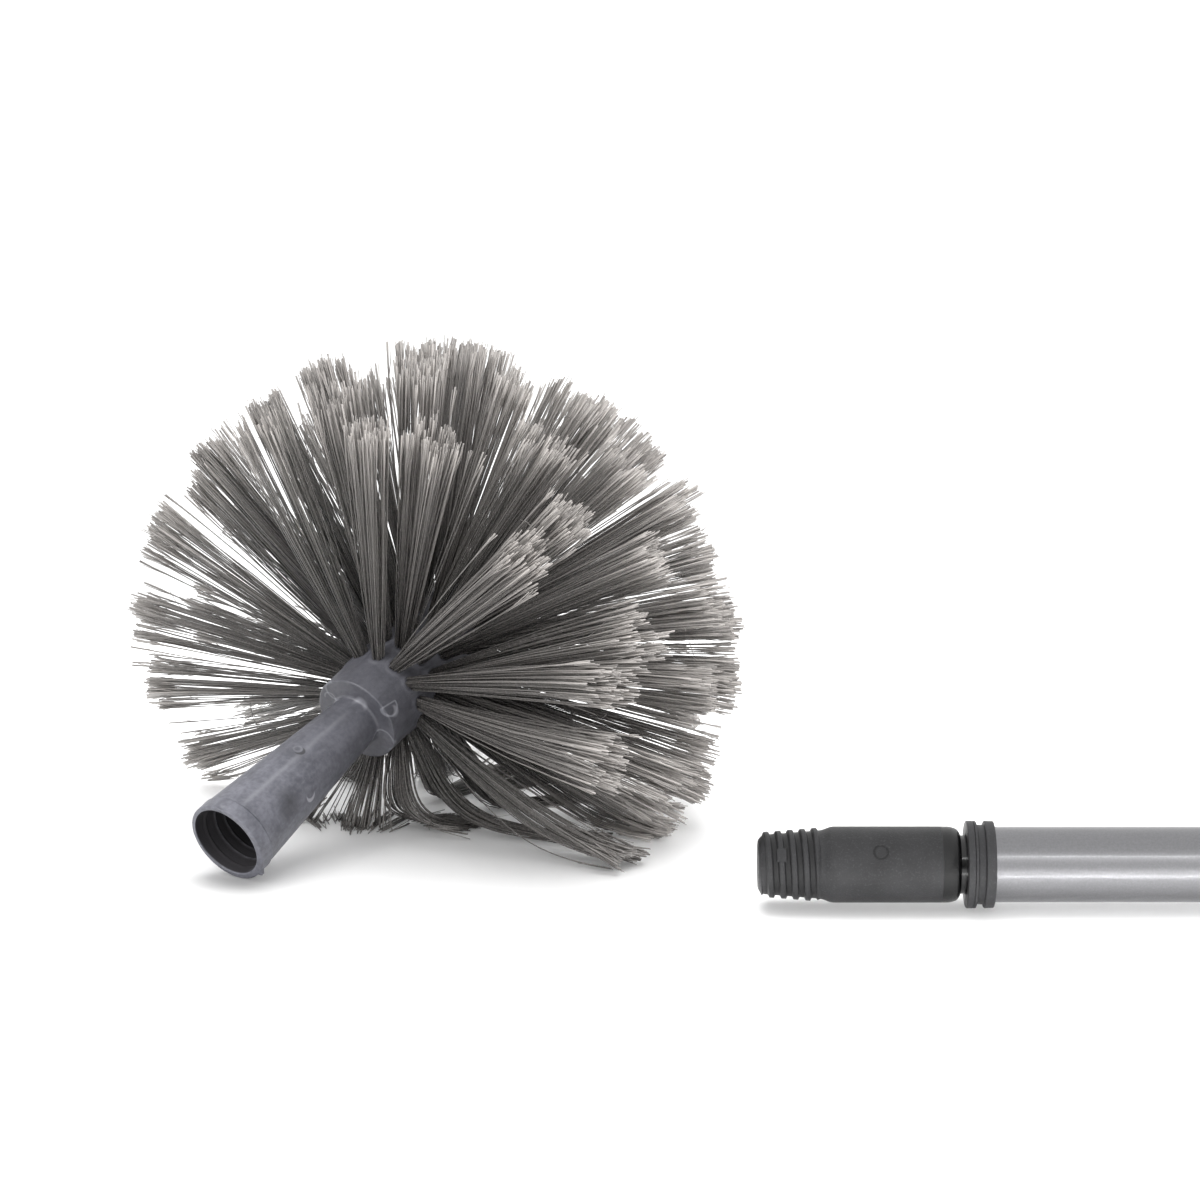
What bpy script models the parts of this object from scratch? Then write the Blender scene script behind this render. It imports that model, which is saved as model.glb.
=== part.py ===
"""Telescopic ceiling brush: a two-section twist-lock pole with a screw-on ball of bristle tufts.

Metres, +Z up. The origin is the centre of the flat end of the pole's threaded tip. The pole lies
along +X. The brush head is unscrewed and lies beside the tip on its socket's rim and its bristles.
Each turned piece is drawn along its own Z and then laid along the pole or along the head's axis.
"""
import math
import random

import bmesh
import bpy
from mathutils import Matrix, Vector

MM = 0.001

# Clearances
FIT_GAP = 0.3 * MM
RUN_GAP = 0.3 * MM
CUT_OVERRUN = 2 * MM
MERGE_DISTANCE = 0.02 * MM

# Tubes of the pole
OUTER_TUBE_RADIUS = 12.5 * MM
OUTER_TUBE_WALL = 0.5 * MM
OUTER_TUBE_LENGTH = 640 * MM
INNER_TUBE_RADIUS = 9.7 * MM
INNER_TUBE_WALL = 0.6 * MM
LOCK_TO_CAP = 4.2 * MM

# Threaded tip
TIP_LENGTH = 67 * MM
TIP_THREAD_LENGTH = 20.5 * MM
TIP_SHOULDER_LENGTH = 3.5 * MM
TIP_FRONT_RADIUS = 9.6 * MM
TIP_REAR_THREAD_RADIUS = 10.85 * MM
TIP_BODY_RADIUS = 12.6 * MM
TIP_REAR_ROUNDING = 3.2 * MM
TIP_FRONT_CHAMFER = 0.6 * MM
TIP_ROUNDING_STEPS = 5
TIP_SEAT_DEPTH = 40 * MM
TIP_END_WALL = 3.5 * MM
TIP_CAVITY_RADIUS = 6.5 * MM
TIP_CAVITY_DRAFT = 0.6 * MM
TIP_TO_COLLAR = 1.7 * MM
NIB_RADIUS = 1.8 * MM
NIB_HEIGHT = 0.8 * MM
NIB_FROM_TIP_END = 40.7 * MM
NIB_ANGLE = math.radians(-57)

# Guide collar
COLLAR_RADIUS = 14.45 * MM
COLLAR_FLANGE_LENGTH = 3.3 * MM
COLLAR_GROOVE_LENGTH = 2.6 * MM
COLLAR_GROOVE_DEPTH = 1.1 * MM
COLLAR_CUP_DEPTH = 2.2 * MM
COLLAR_SLEEVE_LENGTH = 24 * MM
COLLAR_EDGE = 0.5 * MM
COLLAR_SLOT_WIDTH = 2.4 * MM
COLLAR_SLOT_DEPTH = 1.0 * MM

# Twist lock at the hidden end of the inner tube
PLUG_INSERT_LENGTH = 26 * MM
PLUG_SHOULDER_LENGTH = 3 * MM
PLUG_CONE_LENGTH = 27 * MM
PLUG_CONE_FRONT_RADIUS = 7.6 * MM
PLUG_CONE_REAR_RADIUS = 5.4 * MM
PLUG_SCREW_HOLE_DEPTH = 15 * MM
EXPANDER_LENGTH = 19 * MM
EXPANDER_SPLIT_WIDTH = 2.4 * MM
EXPANDER_GROOVE_DEPTH = 0.6 * MM
EXPANDER_GROOVE_COUNT = 3
WASHER_RADIUS = 8.2 * MM
WASHER_THICKNESS = 1.5 * MM
SCREW_SHANK_RADIUS = 1.8 * MM
SCREW_SHANK_LENGTH = 13 * MM
SCREW_HEAD_RADIUS = 3.6 * MM
SCREW_HEAD_HEIGHT = 2.4 * MM
SCREW_SLOT_WIDTH = 1.0 * MM
SCREW_SLOT_DEPTH = 1.1 * MM

# Hand grip and hanging cap
GRIP_LENGTH = 112 * MM
GRIP_EDGE = 2 * MM
GRIP_GROOVE_COUNT = 5
GRIP_GROOVE_WIDTH = 3 * MM
GRIP_GROOVE_DEPTH = 0.9 * MM
CAP_PLUG_LENGTH = 22 * MM
CAP_WALL = 2 * MM
CAP_FLANGE_LENGTH = 5 * MM
CAP_FLANGE_EDGE = 1.2 * MM
EYE_RADIUS = 11 * MM
EYE_HOLE_RADIUS = 5.5 * MM
EYE_THICKNESS = 7 * MM
EYE_REACH = 13 * MM
EYE_STEPS = 18

# Brush head: where it lies
HEAD_TILT = math.radians(22.97)
HEAD_TURN = math.radians(53.2)
HEAD_MOUTH_X = -178 * MM
HEAD_MOUTH_Y = 27 * MM

# Brush head: socket, flange and spindle, measured from the mouth along the head's axis
MOUTH_RADIUS = 15 * MM
MOUTH_BORE_RADIUS = 12.35 * MM
MOUTH_BAND_LENGTH = 5.5 * MM
MOUTH_BAND_STEP = 0.35 * MM
MOUTH_EDGE = 0.4 * MM
SOCKET_LENGTH = 74 * MM
SOCKET_NECK_RADIUS = 9.25 * MM
SOCKET_BORE_DEPTH = 56 * MM
SOCKET_BORE_END_RADIUS = 7.6 * MM
NECK_FILLET = 1.5 * MM
HUB_RADIUS = 16.25 * MM
HUB_EDGE = 0.6 * MM
FLANGE_LENGTH = 11.45 * MM
POCKET_RADIUS = 3.4 * MM
POCKET_DEPTH = 0.8 * MM
POCKET_FROM_AXIS = 12.2 * MM
POCKET_ANGLES = (75, 185, 300)
SPINDLE_RADIUS = 6 * MM
SPINDLE_SEAT_DEPTH = 4 * MM

# Tufts: rows round the hub, then rings and one middle tuft on the nose
ROW_COUNT = 5
ROW_PITCH = 9.5 * MM
ROW_TUFTS = 13
ROW_LEANS = (3, 9, 17, 27, 38)
ROW_FIRST_ANGLE = -4
NOSE_SKIRT = 2.5 * MM
NOSE_HEIGHT = 8 * MM
NOSE_STEPS = 5
NOSE_COUNTS = (9, 5, 1)
NOSE_LEANS = (54, 72, 90)
NOSE_RADIUS_SHARES = (0.66, 0.34, 0.0)
BALL_RADIUS = 108 * MM
BALL_CENTRE = 120 * MM
TUFT_ROOT_SPREAD = 1.4 * MM
TUFT_TIP_SPREAD = 8.5 * MM
TUFT_LEAN_STRAY = 2.5
TUFT_SWAY_STRAY = 3.5
TUFT_SEED = 27
STRAND_ROOT_RADIUS = 0.6 * MM
STRAND_TIP_RADIUS = 0.7 * MM
STRAND_SINK = 1.6 * MM
STRAND_PLACES = ((0, 0), (1, 1), (1, -1), (-1, 1), (-1, -1))
STRAND_BEND_STEPS = 4

# The floor bends the lowest strands: where the bend starts and how far it drives them outwards
PRESS_HEIGHT = 20 * MM
PRESS_SPREAD = 75 * MM
PRESS_SETTLE = 0.65 * MM

# Sides of a turned piece
FINE_SIDES = 48
PLAIN_SIDES = 24
SMALL_SIDES = 16
GRIP_SIDES = 36
ROW_SIDES = 2 * ROW_TUFTS

# Places worked out from the sizes
FLOOR = -COLLAR_RADIUS
COLLAR_LENGTH = 2 * COLLAR_FLANGE_LENGTH + COLLAR_GROOVE_LENGTH
COLLAR_START = TIP_LENGTH + TIP_TO_COLLAR
OUTER_TUBE_BORE = OUTER_TUBE_RADIUS - OUTER_TUBE_WALL
OUTER_TUBE_START = COLLAR_START + COLLAR_LENGTH - COLLAR_CUP_DEPTH + FIT_GAP
OUTER_TUBE_END = OUTER_TUBE_START + OUTER_TUBE_LENGTH
CAP_FLANGE_START = OUTER_TUBE_END + FIT_GAP
SCREW_HEAD_START = CAP_FLANGE_START - CAP_PLUG_LENGTH - LOCK_TO_CAP - SCREW_HEAD_HEIGHT
WASHER_START = SCREW_HEAD_START - FIT_GAP - WASHER_THICKNESS
PLUG_END = WASHER_START - FIT_GAP
PLUG_CONE_START = PLUG_END - PLUG_CONE_LENGTH
PLUG_SHOULDER_START = PLUG_CONE_START - PLUG_SHOULDER_LENGTH
EXPANDER_START = PLUG_END - EXPANDER_LENGTH
INNER_TUBE_BORE = INNER_TUBE_RADIUS - INNER_TUBE_WALL
INNER_TUBE_START = TIP_LENGTH - TIP_SEAT_DEPTH + FIT_GAP
INNER_TUBE_END = PLUG_SHOULDER_START - FIT_GAP
INNER_TUBE_LENGTH = INNER_TUBE_END - INNER_TUBE_START
GRIP_START = OUTER_TUBE_END - GRIP_LENGTH
HUB_START = SOCKET_LENGTH + FLANGE_LENGTH
NOSE_START = HUB_START + ROW_COUNT * ROW_PITCH
SPINDLE_END = NOSE_START + SPINDLE_SEAT_DEPTH
HEAD_MOUTH = Vector((HEAD_MOUTH_X, HEAD_MOUTH_Y, FLOOR + MOUTH_RADIUS * math.cos(HEAD_TILT)))
HEAD_FRAME = (
    Matrix.Translation(HEAD_MOUTH)
    @ Matrix.Rotation(HEAD_TURN, 4, "Z")
    @ Matrix.Rotation(math.pi / 2 - HEAD_TILT, 4, "Y")
)

TIP_PLASTIC = ("tip_plastic", (0.062, 0.064, 0.072, 1), 0.5, 0.0)
HEAD_PLASTIC = ("head_plastic", (0.098, 0.104, 0.128, 1), 0.5, 0.0)
OUTER_PAINT = ("outer_tube_paint", (0.36, 0.37, 0.39, 1), 0.32, 0.7)
INNER_PAINT = ("inner_tube_paint", (0.03, 0.03, 0.033, 1), 0.2, 0.4)
LOCK_PLASTIC = ("lock_plastic", (0.7, 0.69, 0.65, 1), 0.5, 0.0)
ZINC = ("zinc_steel", (0.55, 0.55, 0.56, 1), 0.35, 1.0)
BRISTLE = ("bristle", (0.2, 0.19, 0.17, 1), 0.45, 0.0)


def clear_scene():
    for item in list(bpy.data.objects):
        bpy.data.objects.remove(item, do_unlink=True)


def new_collection(name):
    made = bpy.data.collections.new(name)
    bpy.context.scene.collection.children.link(made)
    return made


def finish_material(finish):
    """Return the Principled material of one finish, made on its first use."""
    name, colour, roughness, metallic = finish
    if name in bpy.data.materials:
        return bpy.data.materials[name]
    made = bpy.data.materials.new(name)
    made.use_nodes = True
    shader = made.node_tree.nodes["Principled BSDF"]
    shader.inputs["Base Color"].default_value = colour
    shader.inputs["Roughness"].default_value = roughness
    shader.inputs["Metallic"].default_value = metallic
    made.diffuse_color = colour
    return made


def place(name, mesh, group, finish=None, parent=None, shift=0.0):
    """Put a mesh in the scene under an axis empty, moved along that axis by a shift."""
    made = bpy.data.objects.new(name, mesh)
    group.objects.link(made)
    if finish is not None:
        mesh.materials.append(finish_material(finish))
    made.parent = parent
    made.location = (0, 0, shift)
    return made


def as_cutter(item):
    item.hide_render = True
    item.display_type = "WIRE"
    return item


def turned(name, profile, group, finish, parent, shift=0.0, sides=FINE_SIDES, closed=True):
    """Turn a profile of (radius, height) points, outer side from top to bottom, about Z."""
    mesh = bpy.data.meshes.new(name)
    points = [(radius, 0, height) for radius, height in profile]
    edges = [(i, i + 1) for i in range(len(points) - 1)]
    if closed:
        edges.append((len(points) - 1, 0))
    mesh.from_pydata(points, edges, [])
    made = place(name, mesh, group, finish, parent, shift)
    screw = made.modifiers.new("turn", "SCREW")
    screw.axis = "Z"
    screw.angle = 2 * math.pi
    screw.steps = sides
    screw.render_steps = sides
    screw.use_merge_vertices = True
    screw.merge_threshold = MERGE_DISTANCE
    screw.use_smooth_shade = True
    return made


def boolean(item, other, operation):
    change = item.modifiers.new(operation.lower(), "BOOLEAN")
    change.operation = operation
    change.object = other
    change.solver = "EXACT"
    return item


def primitive_cylinder(name, radius, depth, sides, group, parent, matrix):
    """Make a closed cylinder about its own Z, centred on the given matrix."""
    mesh = bpy.data.meshes.new(name)
    shape = bmesh.new()
    bmesh.ops.create_cone(
        shape, cap_ends=True, segments=sides, radius1=radius, radius2=radius, depth=depth
    )
    shape.to_mesh(mesh)
    shape.free()
    made = place(name, mesh, group, None, parent)
    made.matrix_local = matrix
    return as_cutter(made)


def primitive_box(name, size, group, parent, matrix):
    """Make a closed box of the given sides, centred on the given matrix."""
    mesh = bpy.data.meshes.new(name)
    shape = bmesh.new()
    bmesh.ops.create_cube(shape, size=1)
    bmesh.ops.scale(shape, vec=size, verts=shape.verts)
    shape.to_mesh(mesh)
    shape.free()
    made = place(name, mesh, group, None, parent)
    made.matrix_local = matrix
    return as_cutter(made)


def arc(centre, radius, start, end, steps):
    """Return points on an arc in the profile plane, angles in degrees from the +radius side."""
    points = []
    for i in range(steps + 1):
        angle = math.radians(start + (end - start) * i / steps)
        points.append((centre[0] + radius * math.cos(angle), centre[1] + radius * math.sin(angle)))
    return points


def pole_axis(group):
    """Make the empty whose Z is the pole's axis, with its X pointing down to the floor."""
    empty = bpy.data.objects.new("pole_axis", None)
    group.objects.link(empty)
    empty.rotation_euler = (0, math.pi / 2, 0)
    return empty


def head_axis(group):
    """Make the empty whose Z is the head's axis, with its X in the upright plane through it."""
    empty = bpy.data.objects.new("head_axis", None)
    group.objects.link(empty)
    empty.matrix_world = HEAD_FRAME
    return empty


def build_outer_tube(parts, axis):
    profile = [
        (OUTER_TUBE_RADIUS, OUTER_TUBE_LENGTH),
        (OUTER_TUBE_RADIUS, 0),
        (OUTER_TUBE_BORE, 0),
        (OUTER_TUBE_BORE, OUTER_TUBE_LENGTH),
    ]
    return turned("outer_tube", profile, parts, OUTER_PAINT, axis, OUTER_TUBE_START)


def build_inner_tube(parts, cutters, axis):
    """The inner tube has one round hole that the tip's nib snaps into."""
    profile = [
        (INNER_TUBE_RADIUS, INNER_TUBE_LENGTH),
        (INNER_TUBE_RADIUS, 0),
        (INNER_TUBE_BORE, 0),
        (INNER_TUBE_BORE, INNER_TUBE_LENGTH),
    ]
    tube = turned("inner_tube", profile, parts, INNER_PAINT, axis, INNER_TUBE_START)
    hole_depth = INNER_TUBE_WALL + 2 * CUT_OVERRUN
    middle = INNER_TUBE_RADIUS - INNER_TUBE_WALL / 2
    cutter = primitive_cylinder(
        "nib_hole_cutter", NIB_RADIUS + FIT_GAP, hole_depth, SMALL_SIDES, cutters, axis, nib_matrix(middle)
    )
    return boolean(tube, cutter, "DIFFERENCE")


def nib_matrix(radius):
    """Stand on the nib's own line, which crosses the pole's axis, at a radius from that axis."""
    return (
        Matrix.Rotation(NIB_ANGLE, 4, "Z")
        @ Matrix.Translation((radius, 0, NIB_FROM_TIP_END))
        @ Matrix.Rotation(math.pi / 2, 4, "Y")
    )


def build_threaded_tip(parts, cutters, axis):
    """The tip is a moulded plug with a tapered screw end, a seat for the tube and a snap nib."""
    seat_radius = INNER_TUBE_RADIUS + FIT_GAP
    seat_start = TIP_LENGTH - TIP_SEAT_DEPTH
    corner = (TIP_BODY_RADIUS - TIP_REAR_ROUNDING, TIP_LENGTH - TIP_REAR_ROUNDING)
    profile = [
        (0, TIP_END_WALL),
        (TIP_CAVITY_RADIUS - TIP_CAVITY_DRAFT, TIP_END_WALL),
        (TIP_CAVITY_RADIUS, seat_start),
        (seat_radius, seat_start),
        (seat_radius, TIP_LENGTH),
    ]
    profile += arc(corner, TIP_REAR_ROUNDING, 90, 0, TIP_ROUNDING_STEPS)
    profile += [
        (TIP_BODY_RADIUS, TIP_THREAD_LENGTH + TIP_SHOULDER_LENGTH),
        (TIP_REAR_THREAD_RADIUS, TIP_THREAD_LENGTH),
        (TIP_FRONT_RADIUS, TIP_FRONT_CHAMFER),
        (TIP_FRONT_RADIUS - TIP_FRONT_CHAMFER, 0),
        (0, 0),
    ]
    tip = turned("threaded_tip", profile, parts, TIP_PLASTIC, axis, 0.0, FINE_SIDES, False)
    nib_top = INNER_TUBE_RADIUS - NIB_HEIGHT + FIT_GAP
    nib_bottom = seat_radius + FIT_GAP
    nib = primitive_cylinder(
        "nib_blank", NIB_RADIUS, nib_bottom - nib_top, SMALL_SIDES, cutters, axis,
        nib_matrix((nib_top + nib_bottom) / 2),
    )
    return boolean(tip, nib, "UNION")


def build_guide_collar(parts, cutters, axis):
    """The collar caps the outer tube's mouth and guides the inner tube in its sleeve."""
    bore = INNER_TUBE_RADIUS + RUN_GAP
    groove_radius = COLLAR_RADIUS - COLLAR_GROOVE_DEPTH
    groove_start = COLLAR_FLANGE_LENGTH
    groove_end = groove_start + COLLAR_GROOVE_LENGTH
    cup_radius = OUTER_TUBE_RADIUS + FIT_GAP
    cup_floor = COLLAR_LENGTH - COLLAR_CUP_DEPTH
    sleeve_radius = OUTER_TUBE_BORE - FIT_GAP
    sleeve_end = cup_floor + COLLAR_SLEEVE_LENGTH
    profile = [
        (bore, sleeve_end),
        (sleeve_radius - COLLAR_EDGE, sleeve_end),
        (sleeve_radius, sleeve_end - COLLAR_EDGE),
        (sleeve_radius, cup_floor),
        (cup_radius, cup_floor),
        (cup_radius, COLLAR_LENGTH),
        (COLLAR_RADIUS - COLLAR_EDGE, COLLAR_LENGTH),
        (COLLAR_RADIUS, COLLAR_LENGTH - COLLAR_EDGE),
        (COLLAR_RADIUS, groove_end + COLLAR_EDGE),
        (COLLAR_RADIUS - COLLAR_EDGE, groove_end),
        (groove_radius, groove_end),
        (groove_radius, groove_start),
        (COLLAR_RADIUS - COLLAR_EDGE, groove_start),
        (COLLAR_RADIUS, groove_start - COLLAR_EDGE),
        (COLLAR_RADIUS, COLLAR_EDGE),
        (COLLAR_RADIUS - COLLAR_EDGE, 0),
        (bore, 0),
    ]
    collar = turned("guide_collar", profile, parts, TIP_PLASTIC, axis, COLLAR_START)
    slot = primitive_box(
        "collar_slot_cutter",
        (2 * COLLAR_SLOT_DEPTH, COLLAR_SLOT_WIDTH, COLLAR_GROOVE_LENGTH),
        cutters, axis,
        Matrix.Rotation(math.pi, 4, "Z")
        @ Matrix.Translation((groove_radius, 0, COLLAR_START + (groove_start + groove_end) / 2)),
    )
    return boolean(collar, slot, "DIFFERENCE")


def cone_radius(height):
    """Radius of the lock plug's cone at a place along the pole."""
    share = (height - PLUG_CONE_START) / PLUG_CONE_LENGTH
    return PLUG_CONE_FRONT_RADIUS + (PLUG_CONE_REAR_RADIUS - PLUG_CONE_FRONT_RADIUS) * share


def build_lock_plug(parts, axis):
    """The plug fills the inner tube's end and carries the cone that spreads the expander."""
    insert_radius = INNER_TUBE_BORE - FIT_GAP
    insert_start = PLUG_SHOULDER_START - PLUG_INSERT_LENGTH
    hole = SCREW_SHANK_RADIUS + FIT_GAP
    profile = [
        (hole, PLUG_END),
        (PLUG_CONE_REAR_RADIUS, PLUG_END),
        (PLUG_CONE_FRONT_RADIUS, PLUG_CONE_START),
        (INNER_TUBE_RADIUS, PLUG_CONE_START),
        (INNER_TUBE_RADIUS, PLUG_SHOULDER_START),
        (insert_radius, PLUG_SHOULDER_START),
        (insert_radius, insert_start),
        (0, insert_start),
    ]
    profile = [(0, PLUG_END - PLUG_SCREW_HOLE_DEPTH), (hole, PLUG_END - PLUG_SCREW_HOLE_DEPTH)] + profile
    return turned("lock_plug", profile, parts, LOCK_PLASTIC, axis, 0.0, PLAIN_SIDES, False)


def build_lock_expander(parts, cutters, axis):
    """The expander is a split, grooved sleeve that the cone drives against the outer tube."""
    outside = OUTER_TUBE_BORE - RUN_GAP
    end = EXPANDER_START + EXPANDER_LENGTH
    profile = [(cone_radius(end) + RUN_GAP, end)]
    pitch = EXPANDER_LENGTH / (2 * EXPANDER_GROOVE_COUNT + 1)
    for i in range(EXPANDER_GROOVE_COUNT):
        land_end = end - 2 * i * pitch
        profile += [
            (outside, land_end),
            (outside, land_end - pitch),
            (outside - EXPANDER_GROOVE_DEPTH, land_end - pitch),
            (outside - EXPANDER_GROOVE_DEPTH, land_end - 2 * pitch),
        ]
    profile += [
        (outside, EXPANDER_START + pitch),
        (outside, EXPANDER_START),
        (cone_radius(EXPANDER_START) + RUN_GAP, EXPANDER_START),
    ]
    sleeve = turned("lock_expander", profile, parts, LOCK_PLASTIC, axis, 0.0, PLAIN_SIDES)
    split = primitive_box(
        "expander_split_cutter",
        (OUTER_TUBE_BORE, EXPANDER_SPLIT_WIDTH, EXPANDER_LENGTH + 2 * CUT_OVERRUN),
        cutters, axis,
        Matrix.Translation((OUTER_TUBE_BORE / 2, 0, (EXPANDER_START + end) / 2)),
    )
    return boolean(sleeve, split, "DIFFERENCE")


def build_lock_washer(parts, axis):
    hole = SCREW_SHANK_RADIUS + FIT_GAP
    profile = [
        (WASHER_RADIUS, WASHER_THICKNESS),
        (WASHER_RADIUS, 0),
        (hole, 0),
        (hole, WASHER_THICKNESS),
    ]
    return turned("lock_washer", profile, parts, ZINC, axis, WASHER_START, PLAIN_SIDES)


def build_lock_screw(parts, cutters, axis):
    dome = SCREW_HEAD_HEIGHT / 2
    profile = [
        (0, SCREW_HEAD_HEIGHT),
        (SCREW_HEAD_RADIUS - dome, SCREW_HEAD_HEIGHT),
        (SCREW_HEAD_RADIUS, SCREW_HEAD_HEIGHT - dome),
        (SCREW_HEAD_RADIUS, 0),
        (SCREW_SHANK_RADIUS, 0),
        (SCREW_SHANK_RADIUS, SCREW_SHANK_RADIUS - SCREW_SHANK_LENGTH),
        (0, -SCREW_SHANK_LENGTH),
    ]
    screw = turned("lock_screw", profile, parts, ZINC, axis, SCREW_HEAD_START, SMALL_SIDES, False)
    slot = primitive_box(
        "screw_slot_cutter",
        (2 * (SCREW_HEAD_RADIUS + CUT_OVERRUN), SCREW_SLOT_WIDTH, 2 * SCREW_SLOT_DEPTH),
        cutters, axis,
        Matrix.Translation((0, 0, SCREW_HEAD_START + SCREW_HEAD_HEIGHT)),
    )
    return boolean(screw, slot, "DIFFERENCE")


def build_hand_grip(parts, axis):
    """The grip is a sleeve over the outer tube's rear end, grooved for the fingers."""
    bore = OUTER_TUBE_RADIUS + FIT_GAP
    groove = COLLAR_RADIUS - GRIP_GROOVE_DEPTH
    pitch = (GRIP_LENGTH - 2 * GRIP_EDGE) / (GRIP_GROOVE_COUNT + 1)
    profile = [
        (bore, GRIP_LENGTH),
        (COLLAR_RADIUS, GRIP_LENGTH),
    ]
    for i in range(GRIP_GROOVE_COUNT, 0, -1):
        middle = GRIP_EDGE + i * pitch
        profile += [
            (COLLAR_RADIUS, middle + GRIP_GROOVE_WIDTH / 2),
            (groove, middle),
            (COLLAR_RADIUS, middle - GRIP_GROOVE_WIDTH / 2),
        ]
    profile += [
        (COLLAR_RADIUS, GRIP_EDGE),
        ((COLLAR_RADIUS + bore) / 2, 0),
        (bore, 0),
    ]
    return turned("hand_grip", profile, parts, TIP_PLASTIC, axis, GRIP_START, GRIP_SIDES)


def build_hanging_cap(parts, cutters, axis):
    """The cap plugs the tube's rear end and carries the flat eye that the pole hangs by."""
    plug_radius = OUTER_TUBE_BORE - FIT_GAP
    face = CAP_FLANGE_LENGTH
    profile = [
        (0, face),
        (COLLAR_RADIUS - CAP_FLANGE_EDGE, face),
        (COLLAR_RADIUS, face - CAP_FLANGE_EDGE),
        (COLLAR_RADIUS, 0),
        (plug_radius, 0),
        (plug_radius, -CAP_PLUG_LENGTH),
        (plug_radius - CAP_WALL, -CAP_PLUG_LENGTH),
        (plug_radius - CAP_WALL, 0),
        (0, 0),
    ]
    cap = turned("hanging_cap", profile, parts, TIP_PLASTIC, axis, CAP_FLANGE_START, FINE_SIDES, False)
    eye_place = Matrix.Translation((0, 0, CAP_FLANGE_START + face + EYE_REACH - EYE_RADIUS))
    upright = Matrix.Rotation(math.pi / 2, 4, "X")
    tab = eye_outline("eye_blank", cutters, axis, eye_place @ upright)
    hole = primitive_cylinder(
        "eye_hole_cutter", EYE_HOLE_RADIUS, EYE_THICKNESS + 2 * CUT_OVERRUN, PLAIN_SIDES,
        cutters, axis, eye_place @ upright,
    )
    boolean(tab, hole, "DIFFERENCE")
    return boolean(cap, tab, "UNION")


def eye_outline(name, group, parent, matrix):
    """The eye is a round tab with straight sides that run down into the cap's flange."""
    root = -(EYE_REACH - EYE_RADIUS) - CAP_FLANGE_LENGTH / 2
    outline = [(EYE_RADIUS, root)] + arc((0, 0), EYE_RADIUS, 0, 180, EYE_STEPS) + [(-EYE_RADIUS, root)]
    mesh = bpy.data.meshes.new(name)
    shape = bmesh.new()
    corners = [shape.verts.new((x, y, -EYE_THICKNESS / 2)) for x, y in outline]
    sheet = shape.faces.new(corners)
    raised = bmesh.ops.extrude_face_region(shape, geom=[sheet])
    moved = [item for item in raised["geom"] if isinstance(item, bmesh.types.BMVert)]
    bmesh.ops.translate(shape, vec=(0, 0, EYE_THICKNESS), verts=moved)
    bmesh.ops.recalc_face_normals(shape, faces=shape.faces)
    shape.to_mesh(mesh)
    shape.free()
    made = place(name, mesh, group, None, parent)
    made.matrix_local = matrix
    return as_cutter(made)


def build_brush_core(parts, cutters, axis):
    """Socket, flange and spindle are one moulding: the bore takes the tip, the spindle the rows."""
    band_radius = MOUTH_RADIUS - MOUTH_BAND_STEP
    profile = [
        (0, SPINDLE_END),
        (SPINDLE_RADIUS, SPINDLE_END),
        (SPINDLE_RADIUS, HUB_START),
        (HUB_RADIUS, HUB_START),
        (HUB_RADIUS, SOCKET_LENGTH + HUB_EDGE),
        (HUB_RADIUS - HUB_EDGE, SOCKET_LENGTH),
        (SOCKET_NECK_RADIUS + NECK_FILLET, SOCKET_LENGTH),
        (SOCKET_NECK_RADIUS, SOCKET_LENGTH - NECK_FILLET),
        (band_radius, MOUTH_BAND_LENGTH + MOUTH_BAND_STEP),
        (MOUTH_RADIUS, MOUTH_BAND_LENGTH),
        (MOUTH_RADIUS, 0),
        (MOUTH_BORE_RADIUS + MOUTH_EDGE, 0),
        (MOUTH_BORE_RADIUS, MOUTH_EDGE),
        (SOCKET_BORE_END_RADIUS, SOCKET_BORE_DEPTH),
        (0, SOCKET_BORE_DEPTH),
    ]
    core = turned("brush_core", profile, parts, HEAD_PLASTIC, axis, 0.0, FINE_SIDES, False)
    for number, angle in enumerate(POCKET_ANGLES, 1):
        pocket = primitive_cylinder(
            f"pocket_{number}_cutter", POCKET_RADIUS, 2 * POCKET_DEPTH, SMALL_SIDES, cutters, axis,
            Matrix.Rotation(math.radians(angle), 4, "Z")
            @ Matrix.Translation((POCKET_FROM_AXIS, 0, SOCKET_LENGTH)),
        )
        boolean(core, pocket, "DIFFERENCE")
    return core


def pressed(point):
    """Lift what would lie under the floor and drive it outwards from the hub.

    The height falls towards the floor without ever crossing it, and the spread grows with the
    lift, so strands that are apart when straight stay apart when pressed.
    """
    lying = FLOOR + STRAND_TIP_RADIUS - PRESS_SETTLE
    height = point.z - lying
    if height >= PRESS_HEIGHT:
        return point
    lifted = PRESS_HEIGHT * math.exp(height / PRESS_HEIGHT - 1)
    spread = 1 + (lifted - height) / PRESS_SPREAD
    middle = HEAD_FRAME @ Vector((0, 0, HUB_START))
    return Vector((
        middle.x + (point.x - middle.x) * spread,
        middle.y + (point.y - middle.y) * spread,
        lying + lifted,
    ))


def ball_reach(start, heading):
    """Distance from a start along a heading to the trimmed surface of the ball."""
    away = start - Vector((0, 0, BALL_CENTRE))
    along = away.dot(heading)
    return -along + math.sqrt(along * along - away.length_squared + BALL_RADIUS * BALL_RADIUS)


def strand_path(start, heading, reach):
    """Points of one strand in the head's frame: straight, then bent where the floor presses it."""
    top = (HEAD_FRAME @ start).z
    foot = (HEAD_FRAME @ (start + heading * reach)).z
    shares = [0.0]
    if foot < FLOOR + PRESS_HEIGHT:
        entry = (top - FLOOR - PRESS_HEIGHT) / (top - foot)
        steps = math.ceil((1 - entry) * STRAND_BEND_STEPS)
        shares += [entry + (1 - entry) * step / steps for step in range(steps)]
    shares.append(1.0)
    back = HEAD_FRAME.inverted()
    return [back @ pressed(HEAD_FRAME @ (start + heading * (reach * share))) for share in shares]


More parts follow.
